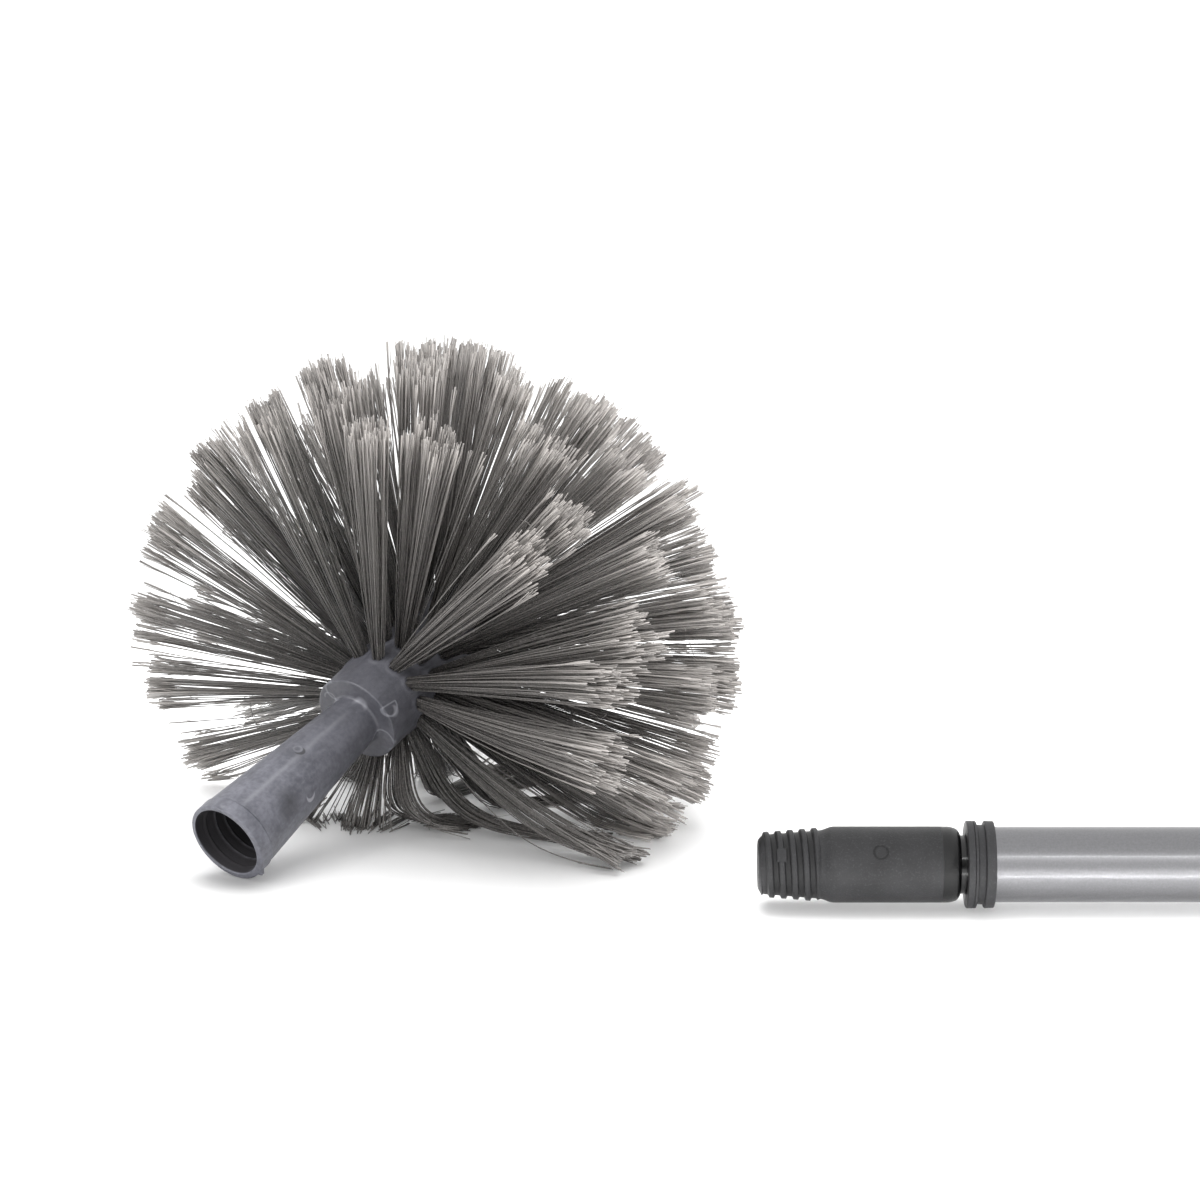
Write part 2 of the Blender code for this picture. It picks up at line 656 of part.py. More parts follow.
def tuft_paths(root, heading, twist):
    """Paths of one tuft's strands, which leave the root side by side and fan out to the ball."""
    across = heading.orthogonal().normalized()
    across.rotate(Matrix.Rotation(twist, 3, heading))
    upward = heading.cross(across)
    full_reach = ball_reach(root, heading)
    paths = []
    for side, rise in STRAND_PLACES:
        place_out = (across * side + upward * rise) / math.sqrt(2)
        start = root + place_out * TUFT_ROOT_SPREAD
        aim = root + heading * full_reach + place_out * TUFT_TIP_SPREAD
        course = (aim - start).normalized()
        sunk = start - course * STRAND_SINK
        paths.append(strand_path(sunk, course, ball_reach(sunk, course)))
    return paths


def tuft_heading(angle, lean, sway):
    """Heading of a tuft: radial at an angle about the axis, leant towards the nose, swayed."""
    radial = Vector((math.cos(angle), math.sin(angle), 0))
    side = Vector((-math.sin(angle), math.cos(angle), 0))
    return (
        radial * (math.cos(lean) * math.cos(sway))
        + side * math.sin(sway)
        + Vector((0, 0, math.sin(lean) * math.cos(sway)))
    ).normalized()


def stray_tuft(root, angle, lean, chance):
    """One tuft with the small disorder of real bristles in its lean, sway and twist."""
    strayed_lean = math.radians(lean + chance.uniform(-TUFT_LEAN_STRAY, TUFT_LEAN_STRAY))
    sway = math.radians(chance.uniform(-TUFT_SWAY_STRAY, TUFT_SWAY_STRAY))
    twist = chance.uniform(0, math.pi / 2)
    return tuft_paths(root, tuft_heading(angle, strayed_lean, sway), twist)


def row_middle(row):
    return HUB_START + ROW_PITCH * (row + 1 / 2)


def row_paths(row):
    """Strand paths of one row: every second row is turned by half a step."""
    chance = random.Random(TUFT_SEED + row)
    paths = []
    for tuft in range(ROW_TUFTS):
        angle = math.radians(ROW_FIRST_ANGLE + 360 * (tuft + (row % 2) / 2) / ROW_TUFTS)
        root = Vector((HUB_RADIUS * math.cos(angle), HUB_RADIUS * math.sin(angle), row_middle(row)))
        paths += stray_tuft(root, angle, ROW_LEANS[row], chance)
    return paths


def nose_height(radius_share):
    """Height of the nose's dome over its skirt, at a share of the hub's radius."""
    return NOSE_HEIGHT * math.sqrt(1 - radius_share * radius_share)


def nose_paths():
    chance = random.Random(TUFT_SEED + ROW_COUNT)
    paths = []
    for count, lean, radius_share in zip(NOSE_COUNTS, NOSE_LEANS, NOSE_RADIUS_SHARES):
        for tuft in range(count):
            angle = math.radians(ROW_FIRST_ANGLE + 360 * tuft / count)
            radius = HUB_RADIUS * radius_share
            height = NOSE_START + NOSE_SKIRT + nose_height(radius_share)
            root = Vector((radius * math.cos(angle), radius * math.sin(angle), height))
            paths += stray_tuft(root, angle, lean, chance)
    return paths


def add_strand(shape, path):
    """Grow a three-sided strand along its path by extruding a small capped triangle."""
    heading = (path[1] - path[0]).normalized()
    turn = heading.to_track_quat("Z", "Y").to_matrix().to_4x4()
    first = bmesh.ops.create_circle(
        shape, cap_ends=True, segments=3, radius=STRAND_ROOT_RADIUS,
        matrix=Matrix.Translation(path[0]) @ turn,
    )
    cap = first["verts"][0].link_faces[0]
    radius = STRAND_ROOT_RADIUS
    for step in range(1, len(path)):
        share = step / (len(path) - 1)
        next_radius = STRAND_ROOT_RADIUS + (STRAND_TIP_RADIUS - STRAND_ROOT_RADIUS) * share
        ahead = path[min(step + 1, len(path) - 1)] - path[step - 1]
        bend = heading.rotation_difference(ahead)
        grown = bmesh.ops.extrude_face_region(shape, geom=[cap])
        if step > 1:
            bmesh.ops.delete(shape, geom=[cap], context="FACES_ONLY")
        cap = [item for item in grown["geom"] if isinstance(item, bmesh.types.BMFace)][0]
        for vertex in cap.verts:
            offset = (vertex.co - path[step - 1]) * (next_radius / radius)
            offset.rotate(bend)
            vertex.co = path[step] + offset
        heading = ahead.normalized()
        radius = next_radius


def strands_object(name, paths, group, axis):
    mesh = bpy.data.meshes.new(name)
    shape = bmesh.new()
    for path in paths:
        add_strand(shape, path)
    bmesh.ops.recalc_face_normals(shape, faces=shape.faces)
    shape.to_mesh(mesh)
    shape.free()
    return as_cutter(place(name, mesh, group, None, axis))


def build_hub_row(row, parts, cutters, axis):
    """One slice of the hub, as wide as a row's pitch, with the row's tufts fused to it.

    The slice is turned so that every tuft stands in the middle of one of its flats.
    """
    low = HUB_START + row * ROW_PITCH + FIT_GAP
    high = low + ROW_PITCH - FIT_GAP
    bore = SPINDLE_RADIUS + FIT_GAP
    profile = [(HUB_RADIUS, high), (HUB_RADIUS, low), (bore, low), (bore, high)]
    name = f"tuft_row_{row + 1}"
    ring = turned(name, profile, parts, BRISTLE, axis, 0.0, ROW_SIDES)
    ring.rotation_euler.z = math.radians(ROW_FIRST_ANGLE) + math.pi / ROW_SIDES
    return boolean(ring, strands_object(f"{name}_strands", row_paths(row), cutters, axis), "UNION")


def build_hub_nose(parts, cutters, axis):
    """The nose closes the hub: a low dome with rings of tufts, seated on the spindle's end."""
    low = NOSE_START + FIT_GAP
    rim = NOSE_START + NOSE_SKIRT
    seat = SPINDLE_RADIUS + FIT_GAP
    seat_end = SPINDLE_END + FIT_GAP
    dome = []
    for step in range(NOSE_STEPS + 1):
        share = math.sin(math.pi / 2 * step / NOSE_STEPS)
        dome.append((HUB_RADIUS * share, rim + nose_height(share)))
    profile = dome + [(HUB_RADIUS, low), (seat, low), (seat, seat_end), (0, seat_end)]
    nose = turned("tuft_nose", profile, parts, BRISTLE, axis, 0.0, ROW_SIDES, False)
    return boolean(nose, strands_object("tuft_nose_strands", nose_paths(), cutters, axis), "UNION")


def main():
    clear_scene()
    parts = new_collection("telescopic_ceiling_brush")
    cutters = new_collection("cutters")
    pole = pole_axis(parts)
    head = head_axis(parts)
    build_outer_tube(parts, pole)
    build_guide_collar(parts, cutters, pole)
    build_hand_grip(parts, pole)
    build_hanging_cap(parts, cutters, pole)
    build_inner_tube(parts, cutters, pole)
    build_threaded_tip(parts, cutters, pole)
    build_lock_plug(parts, pole)
    build_lock_expander(parts, cutters, pole)
    build_lock_washer(parts, pole)
    build_lock_screw(parts, cutters, pole)
    build_brush_core(parts, cutters, head)
    for row in range(ROW_COUNT):
        build_hub_row(row, parts, cutters, head)
    build_hub_nose(parts, cutters, head)


main()
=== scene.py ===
# %% [markdown]
# # A telescopic ceiling brush
#
# The object lies on a white table in two lots: a telescopic pole, and the ball-shaped brush head
# that has been unscrewed from it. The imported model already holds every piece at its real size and
# in its real place. This script dresses it: it lays smooth, rounded skins over the faceted solids,
# swaps each row of stand-in strands for thousands of thin filaments, and gives every surface a
# material that shows scuffs, grain and wear. Nothing that moves or fits is changed here.

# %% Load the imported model
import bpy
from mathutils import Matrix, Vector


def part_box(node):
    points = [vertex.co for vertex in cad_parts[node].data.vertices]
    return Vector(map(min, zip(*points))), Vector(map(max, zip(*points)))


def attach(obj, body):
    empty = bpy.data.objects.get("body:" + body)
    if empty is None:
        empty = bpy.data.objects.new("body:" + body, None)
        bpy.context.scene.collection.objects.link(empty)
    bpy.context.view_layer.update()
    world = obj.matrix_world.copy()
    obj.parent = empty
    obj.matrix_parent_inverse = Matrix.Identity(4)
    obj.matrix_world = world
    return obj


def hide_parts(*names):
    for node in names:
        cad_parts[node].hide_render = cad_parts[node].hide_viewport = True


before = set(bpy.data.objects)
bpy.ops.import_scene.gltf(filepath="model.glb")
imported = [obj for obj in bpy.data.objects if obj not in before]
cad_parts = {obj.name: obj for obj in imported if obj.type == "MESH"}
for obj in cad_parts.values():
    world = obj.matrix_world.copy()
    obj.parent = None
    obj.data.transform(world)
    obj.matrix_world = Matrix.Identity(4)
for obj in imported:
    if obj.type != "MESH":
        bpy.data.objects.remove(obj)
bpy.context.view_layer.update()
print("nodes:", sorted(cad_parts))

# %% Modules, the unit and new objects
import math

import bmesh
import bpy
import numpy as np
from mathutils import Matrix, Vector

MM = 0.001


def add_object(name, data):
    """Put an object with its mesh, light or camera data into the scene."""
    made = bpy.data.objects.new(name, data)
    bpy.context.scene.collection.objects.link(made)
    return made


# %% [markdown]
# ## The camera
#
# The camera is fitted first, because every later choice is judged in its picture. The photograph
# was taken from a little above the table with a long lens: the floor line, the socket's mouth and
# the pole's axis fix an elevation of 13 degrees. A long lens keeps the pole's edges parallel, so
# the focal length is written as pixels, as it was measured, and turned into millimetres of lens.

# %% Camera
IMAGE_WIDTH = 1200
FOCAL_PIXELS = 3931
SENSOR_WIDTH = 36
CAMERA_PLACE = Vector((-52.1, -1247, 377.8)) * MM
CAMERA_ELEVATION = math.radians(13)

lens = bpy.data.cameras.new("camera")
lens.sensor_fit = "HORIZONTAL"
lens.sensor_width = SENSOR_WIDTH
lens.lens = FOCAL_PIXELS / IMAGE_WIDTH * SENSOR_WIDTH
camera = add_object("camera", lens)
camera.location = CAMERA_PLACE
camera.rotation_euler = (math.pi / 2 - CAMERA_ELEVATION, 0, 0)
bpy.context.scene.camera = camera
print("camera lens, mm:", round(lens.lens, 1))

# %% [markdown]
# ## A small kit for materials
#
# Every material here is a Principled shader fed by a few procedural textures. The first helpers
# keep the recipes readable: they add a node and fill its sockets by name, start a new material
# with its shader and its object coordinates, which don't stretch on a long tube, and feed the
# shader what the textures made.

# %% Nodes and materials
def fill(tree, socket, value):
    """Link a socket to the output of another node, or set its own number or colour."""
    if isinstance(value, bpy.types.NodeSocket):
        tree.links.new(value, socket)
    else:
        socket.default_value = value


def add_node(tree, kind, settings=None, **sockets):
    """Add a node. A socket goes by its name, or by an underscore and its number."""
    made = tree.nodes.new(kind)
    for key, value in (settings or {}).items():
        setattr(made, key, value)
    for key, value in sockets.items():
        label = int(key[1:]) if key[1:].isdigit() else key.replace("_", " ")
        fill(tree, made.inputs[label], value)
    return made


def start_material(name, roughness, metallic=0.0):
    """Make a material and return it with its tree, its shader and its object coordinates."""
    made = bpy.data.materials.new(name)
    made.use_nodes = True
    tree = made.node_tree
    shader = tree.nodes["Principled BSDF"]
    shader.inputs["Roughness"].default_value = roughness
    shader.inputs["Metallic"].default_value = metallic
    place = add_node(tree, "ShaderNodeTexCoord").outputs["Object"]
    return made, tree, shader, place


def feed(tree, shader, colour, roughness=None):
    """Drive a shader's colour, and its roughness where that varies as well."""
    fill(tree, shader.inputs["Base Color"], colour)
    if roughness is not None:
        fill(tree, shader.inputs["Roughness"], roughness)


def add_bump(tree, shader, height, strength, distance):
    made = add_node(tree, "ShaderNodeBump", Strength=strength, Distance=distance, Height=height)
    fill(tree, shader.inputs["Normal"], made.outputs["Normal"])


# %% [markdown]
# The textures are few: noise, which may be drawn out along an axis, and numbers that a mesh keeps
# on its points. Ramps, mixes and ranges turn them into colours, heights and masks.

# %% Textures and mixing
def noise(tree, place, scale, detail=4.0, stretch=None):
    """Noise at a scale in cells per metre, drawn out along the axes where stretch is under 1."""
    if stretch is not None:
        place = add_node(tree, "ShaderNodeMapping", Vector=place, Scale=stretch).outputs["Vector"]
    return add_node(tree, "ShaderNodeTexNoise", Vector=place, Scale=scale, Detail=detail).outputs[0]


def stored(tree, label):
    """The number that a mesh keeps on its points under a label, and 0 where it keeps none."""
    return add_node(tree, "ShaderNodeAttribute", {"attribute_name": label}).outputs["Fac"]


def ramp(tree, factor, stops):
    """Colour ramp from a list of (position, colour)."""
    made = add_node(tree, "ShaderNodeValToRGB", _0=factor)
    elements = made.color_ramp.elements
    while len(elements) < len(stops):
        elements.new(0.5)
    for element, (position, colour) in zip(elements, stops):
        element.position = position
        element.color = (*colour, 1)
    return made.outputs["Color"]


def mix(tree, factor, first, second, blend="MIX"):
    """Mix two colours by a factor. Socket 0 is the factor, and 6 and 7 are the colours."""
    made = add_node(tree, "ShaderNodeMix", {"data_type": "RGBA", "blend_type": blend})
    for number, value in ((0, factor), (6, first), (7, second)):
        fill(tree, made.inputs[number], (*value, 1) if isinstance(value, tuple) else value)
    return made.outputs[2]


def spread(tree, value, low, high, to_low, to_high):
    """Map a value from one range to another, held at the ends."""
    return add_node(
        tree, "ShaderNodeMapRange", Value=value,
        From_Min=low, From_Max=high, To_Min=to_low, To_Max=to_high,
    ).outputs["Result"]


def calculate(tree, operation, first, second=0.0):
    """One step of arithmetic on one or two values."""
    return add_node(
        tree, "ShaderNodeMath", {"operation": operation}, _0=first, _1=second
    ).outputs["Value"]


def measure(tree, operation, first, second):
    """The distance or the dot product of two vectors."""
    return add_node(
        tree, "ShaderNodeVectorMath", {"operation": operation}, _0=first, _1=second
    ).outputs["Value"]


def darkened(colour, share):
    return tuple(share * level for level in colour)


# %% [markdown]
# ## Moulded plastic
#
# Three mouldings share one recipe. Polypropylene from a worn mould is never one flat colour: it
# is blotchy over centimetres, grained over tenths of a millimetre, and rubbed paler in streaks
# where it was handled. So the base colour mixes a slow noise with stretched scratches, roughness
# follows the blotches, and a fine noise gives the grain as a bump. Round witness marks of the
# mould, such as the snap nib's ring on the tip, are rings about a point, drawn by distance.

# %% Plastic recipe
BLOTCHES, STREAKS, SPECKLES, GRAIN = 90, 900, 1700, 2600  # cells per metre
GRAIN_HEIGHT = 0.12 * MM
SHADE_END_FADE = 0.5 * MM
DARK_END_ROUGHNESS = 0.25


def ring_mask(tree, place, centre, radius, width):
    """1 on a ring of one radius about a point, and 0 away from it."""
    off = calculate(tree, "SUBTRACT", measure(tree, "DISTANCE", place, centre), radius)
    return spread(tree, calculate(tree, "ABSOLUTE", off), width / 2, width, 1.0, 0.0)


def plastic(name, dark, light, roughness, grain, scuff, marks=(), shade_from=None):
    """Moulded plastic. Scuff is the strength of its pale scratches, marks are rings of the mould.
    Past a place given along the pole it is painted nearly black, a painted shade of a rounded end,
    and smoother there."""
    made, tree, shader, place = start_material(name, roughness)
    blotches = noise(tree, place, BLOTCHES, 6.0)
    colour = ramp(tree, blotches, [(0.3, dark), (0.7, light)])
    streaks = noise(tree, place, STREAKS, 3.0, (0.12, 1.0, 1.0))
    pale = tuple(min(1, level * 1.9 + 0.02) for level in light)
    colour = mix(tree, spread(tree, streaks, 0.62, 0.8, 0.0, scuff), colour, pale)
    height = noise(tree, place, GRAIN, 2.0)
    for centre, radius, width in marks:
        ring = ring_mask(tree, place, centre, radius, width)
        colour = mix(tree, ring, colour, darkened(dark, 0.4))
        height = calculate(tree, "SUBTRACT", height, ring)
    speckles = noise(tree, place, SPECKLES, 2.0)
    colour = mix(tree, spread(tree, speckles, 0.55, 0.75, 0.0, 2 * scuff), colour, pale)
    # Painted shade in the bottom of the tip's thread, where the mesh stores a groove share.
    colour = mix(tree, stored(tree, "groove"), colour, darkened(dark, 0.3))
    rough = spread(tree, blotches, 0.3, 0.7, roughness - 0.06, roughness + 0.08)
    # Painted shade: past the given place along the pole the colour turns nearly black.
    if shade_from is not None:
        along = add_node(tree, "ShaderNodeSeparateXYZ", Vector=place).outputs["X"]
        faded = shade_from + SHADE_END_FADE
        end = spread(tree, along, shade_from, faded, 0.0, 1.0)
        colour = mix(tree, end, colour, darkened(dark, 0.25))
        rough = spread(tree, along, shade_from, faded, roughness, DARK_END_ROUGHNESS)
    feed(tree, shader, colour, rough)
    add_bump(tree, shader, height, grain, GRAIN_HEIGHT)
    return made


# %% [markdown]
# ## Turned shapes with soft edges
#
# Most pieces are bodies of revolution. What makes a moulding look real is its edges: none is
# sharp, and each catches a thin line of light. So an outline is given by its corners, each with a
# rounding, and a helper draws the curve there and adds a holding point on either side, which
# keeps the long walls flat under smooth shading.

# %% Outlines
EDGE_STEPS = 5
HOLD_SHARE = 0.3
CUT_SHARE = 0.4  # the most of an outline's side that a rounding may take
FINE_EDGE = 0.1 * MM
SMALL_EDGE = 0.3 * MM
SOFT_EDGE = 0.5 * MM
ROUND_EDGE = 1.2 * MM


def soften(corners, closed=False):
    """Round the corners (radius, along, rounding) of an outline."""
    points = []
    count = len(corners)
    for i, (radius, along, rounding) in enumerate(corners):
        here = Vector((radius, along))
        if rounding == 0 or (not closed and i in (0, count - 1)):
            points.append(here)
            continue
        before = Vector(corners[i - 1][:2]) - here
        after = Vector(corners[(i + 1) % count][:2]) - here
        cut = min(rounding, CUT_SHARE * before.length, CUT_SHARE * after.length)
        start = here + before.normalized() * cut
        end = here + after.normalized() * cut
        points.append(start + before.normalized() * cut * HOLD_SHARE)
        for step in range(EDGE_STEPS + 1):
            share = step / EDGE_STEPS
            turning = here * (2 * share * (1 - share))
            points.append(start * (1 - share) ** 2 + turning + end * share ** 2)
        points.append(end + after.normalized() * cut * HOLD_SHARE)
    return points


def refine(points, step, low, high):
    """Add points to an outline so that between two places along it none is further than a step."""
    made = [points[0]]
    for first, second in zip(points, points[1:]):
        length = (second - first).length
        inside = min(first.y, second.y) < high and max(first.y, second.y) > low
        pieces = max(1, math.ceil(length / step)) if inside else 1
        made += [first.lerp(second, (i + 1) / pieces) for i in range(pieces)]
    return made


# %% [markdown]
# A lathe helper spins an outline about an axis. A relief function may then push the surface in or
# out, for threads, pads and swollen holes. Numbers can be stored on the points of the mesh, so
# that a material knows where it is on the piece.

# %% Lathe
MERGE_DISTANCE = 0.001 * MM


def mesh_object(name, points, faces, material, smooth=True):
    """Make a mesh piece in world coordinates from lists of points and faces."""
    mesh = bpy.data.meshes.new(name)
    mesh.from_pydata(points, [], faces)
    mesh.polygons.foreach_set("use_smooth", [smooth] * len(mesh.polygons))
    mesh.materials.append(material)
    return add_object(name, mesh)


def lathe(name, outline, place, material, sides, closed=False, relief=None):
    """Spin an outline about the Z of a placing matrix, with an optional relief of its radius."""
    count = len(outline)
    radius, along = [np.repeat(np.array(c)[:, None], sides, 1) for c in zip(*outline)]
    angle = np.repeat((np.arange(sides) * (2 * math.pi / sides))[None, :], count, 0)
    if relief is not None:
        radius = relief(angle, radius, along)
    local = np.stack([radius * np.cos(angle), radius * np.sin(angle), along], -1).reshape(-1, 3)
    matrix = np.array(place)
    world = local @ matrix[:3, :3].T + matrix[:3, 3]
    faces = []
    for i in range(count if closed else count - 1):
        low, high = i * sides, (i + 1) % count * sides
        for j in range(sides):
            k = (j + 1) % sides
            faces.append((low + j, low + k, high + k, high + j))
    made = mesh_object(name, world.tolist(), faces, material)
    merge_poles(made)
    return made


def merge_poles(piece):
    """Join the points that fall together on the axis and turn all faces outwards."""
    shape = bmesh.new()
    shape.from_mesh(piece.data)
    bmesh.ops.remove_doubles(shape, verts=shape.verts, dist=MERGE_DISTANCE)
    bmesh.ops.recalc_face_normals(shape, faces=shape.faces)
    shape.to_mesh(piece.data)
    shape.free()


# %% Places and numbers on a mesh
def place_about(matrix, piece):
    """Angle, radius and place along of a mesh's points about a matrix's Z axis."""
    points = np.empty(len(piece.data.vertices) * 3)
    piece.data.vertices.foreach_get("co", points)
    inverse = np.array(matrix.inverted())
    x, y, along = (points.reshape(-1, 3) @ inverse[:3, :3].T + inverse[:3, 3]).T
    return np.arctan2(y, x), np.hypot(x, y), along


def store(piece, label, values):
    """Keep one number for each point of a mesh, for its material to read."""
    attribute = piece.data.attributes.new(label, "FLOAT", "POINT")
    attribute.data.foreach_set("value", np.asarray(values, dtype=np.float32))


def ease(value, low, high):
    """Smooth step of an array from 0 at low to 1 at high."""
    share = np.clip((value - low) / (high - low), 0, 1)
    return share * share * (3 - 2 * share)


def window(value, start, full, ebb, end):
    """1 between full and ebb, with smooth steps from 0 at start and to 0 at end."""
    return ease(value, start, full) * (1 - ease(value, ebb, end))


# %% [markdown]
# ## The outer tube
#
# The light grey tube is thin metal with a satin finish. The photograph shows a soft grey body with
# two thin bright lines along it, which are the studio's lamps in a slightly rough mirror. So the
# shader is a nearly metallic one whose roughness decides how wide the lines smear. Drawing the
# tube left very fine lines along it, which are a noise stretched twenty times along the pole.

# %% Outer tube
POLE_PLACE = Matrix(((0, 0, 1, 0), (1, 0, 0, 0), (0, 1, 0, 0), (0, 0, 0, 1)))
TUBE_RADIUS = 12.5 * MM
TUBE_WALL = 0.5 * MM
TUBE_EDGE = 0.15 * MM


def tube_paint():
    made, tree, shader, place = start_material("outer_tube_paint", 0.3, 0.92)
    drawn = noise(tree, place, 1400, 3.0, (0.05, 1.0, 1.0))
    cloudy = noise(tree, place, 1500, 3.0)
    colour = ramp(tree, cloudy, [(0.3, (0.222, 0.222, 0.232)), (0.7, (0.262, 0.262, 0.272))])
    colour = mix(tree, spread(tree, drawn, 0.35, 0.65, 0.0, 0.2), colour, (0.2, 0.2, 0.208))
    feed(tree, shader, colour, spread(tree, drawn, 0.3, 0.7, 0.28, 0.32))
    add_bump(tree, shader, noise(tree, place, 1500, 2.0), 0.06, 0.05 * MM)
    shader.inputs["Coat Weight"].default_value = 0.6
    shader.inputs["Coat Roughness"].default_value = 0.1
    return made


def tube_outline(node, radius, wall):
    """Both walls of a tube that spans a node's own length along the pole."""
    low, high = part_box(node)
    bore = radius - wall
    ends = ((radius, low.x), (radius, high.x), (bore, high.x), (bore, low.x))
    return soften([(*end, TUBE_EDGE) for end in ends], closed=True)


outline = tube_outline("outer_tube", TUBE_RADIUS, TUBE_WALL)
outer_tube = lathe("outer_tube_skin", outline, POLE_PLACE, tube_paint(), 128, closed=True)
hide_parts("outer_tube")
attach(outer_tube, "outer_pole")

# %% [markdown]
# ## The inner tube
#
# Only a finger's width of it shows between tip and collar: near-black and mirror smooth, so it
# reads as two sharp lines on black. A dark base with a low roughness is all that this needs, and a
# faint noise along it stands for the wear of sliding in and out.

# %% Inner tube
INNER_RADIUS = 9.7 * MM
INNER_WALL = 0.6 * MM


def gloss_paint():
    made, tree, shader, place = start_material("inner_tube_paint", 0.14)
    shader.inputs["Specular IOR Level"].default_value = 0.6
    rubbed = noise(tree, place, 1200, 3.0, (0.02, 1.0, 1.0))
    colour = ramp(tree, rubbed, [(0.35, (0.004, 0.004, 0.004)), (0.75, (0.012, 0.012, 0.012))])
    feed(tree, shader, colour, spread(tree, rubbed, 0.4, 0.8, 0.12, 0.24))
    add_bump(tree, shader, rubbed, 0.05, 0.02 * MM)
    return made


outline = tube_outline("inner_tube", INNER_RADIUS, INNER_WALL)
inner_tube = lathe("inner_tube_skin", outline, POLE_PLACE, gloss_paint(), 96, closed=True)
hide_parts("inner_tube")
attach(inner_tube, "inner_pole")
print("inner tube faces:", len(inner_tube.data.polygons))

# %% [markdown]
# ## The thread of the tip
#
# The tip's tapered end has five coarse turns. The thread is a relief on the lathe: a ridge whose
# phase grows with the angle and with the place along the axis, which is just what a helix is. It
# fades in and out at its ends as a moulded thread does. One small flat pad fills the groove after
# the second crest.

# %% Tip thread
THREAD_PITCH = 4 * MM
THREAD_LENGTH = 20.5 * MM
THREAD_DEPTH = 0.95 * MM
THREAD_PHASE_SHARE = 0.55
THREAD_MESH_STEP = 0.22 * MM
ROOT_FRONT = 9.6 * MM
ROOT_BACK = 10.85 * MM
PAD_CENTRE = (7.6 * MM, 5.6 * MM)
PAD_SIZE = (3.2 * MM, 3.6 * MM)
PAD_HEIGHT_SHARE = 0.75


def root_cone(along):
    """Radius of the thread's root."""
    return ROOT_FRONT + (ROOT_BACK - ROOT_FRONT) * along / THREAD_LENGTH


def thread_phase(angle, along, phase_share):
    """Cosine of a right-handed helix: 1 on its crest and -1 in its groove."""
    turns = along / THREAD_PITCH - angle / (2 * math.pi) + phase_share
    return np.cos(2 * math.pi * turns)


def tip_ridge(angle, along):
    """Height share of the tip's thread: 1 on its crest and 0 in its groove."""
    return ease(thread_phase(angle, along, THREAD_PHASE_SHARE), -0.45, 0.5)


def tip_relief(angle, radius, along):
    """Thread and pad on the outside of the tip, which is what lies beyond the root cone."""
    outside = (radius > root_cone(along) - 1.8 * MM) & (radius > 7.5 * MM)
    outside &= along < THREAD_LENGTH + 1.5 * MM
    fade = window(along, 0.2 * MM, 1.8 * MM, THREAD_LENGTH - 1.5 * MM, THREAD_LENGTH + 0.5 * MM)
    beside = abs(along - PAD_CENTRE[0]) < PAD_SIZE[0] / 2
    level = abs(radius * np.sin(angle) - PAD_CENTRE[1]) < PAD_SIZE[1] / 2
    pad = beside & level & (np.cos(angle) < 0)
    share = np.where(pad, PAD_HEIGHT_SHARE, tip_ridge(angle, along) * fade)
    return np.where(outside, radius + THREAD_DEPTH * share, radius)


print("turns of the thread:", THREAD_LENGTH / THREAD_PITCH)

# %% [markdown]
# ## The threaded tip
#
# The tip is a dark grey moulding: behind the thread comes a smooth barrel that rounds over at the
# back and seats on the inner tube. A ring on the barrel marks the snap nib underneath. The mesh
# stores where the thread's grooves are, and the material paints them darker there: painted shade.
# The barrel's rear end is painted darker as well, a painted shade of its rounding.

# %% Threaded tip
TIP_LENGTH = 67 * MM
TIP_BODY = 12.6 * MM
TIP_SEAT_DEPTH = 40 * MM
TIP_END_WALL = 3.5 * MM
TIP_CAVITY_RADIUS = 6.5 * MM
TIP_CAVITY_DRAFT = 0.6 * MM
TIP_REAR_STEP = 0.3 * MM
TIP_REAR_LIP = 0.35 * MM
TIP_REAR_FALL = (0.75 * MM, 1.2 * MM)  # how far the rounded rear stays inside the barrel and end
TIP_REAR_CURVE = 3.6 * MM
TIP_SHOULDER = 3.8 * MM
TIP_NECK = (0.5 * MM, 0.6 * MM)  # beyond the thread's root and end
TIP_NOSE = (0.2 * MM, 1.6 * MM)  # beyond the thread's root and start
TIP_FACE_STEP = 1.4 * MM
FIT_GAP = 0.3 * MM
NIB_PLACE = (40.0 * MM, -10.4 * MM, 7.4 * MM)
NIB_RING = (2.25 * MM, 0.5 * MM)
# Where the painted shade of the tip's rounded rear begins.
SHADED_REAR = 60.3 * MM
GROOVE_SHADE = 0.8


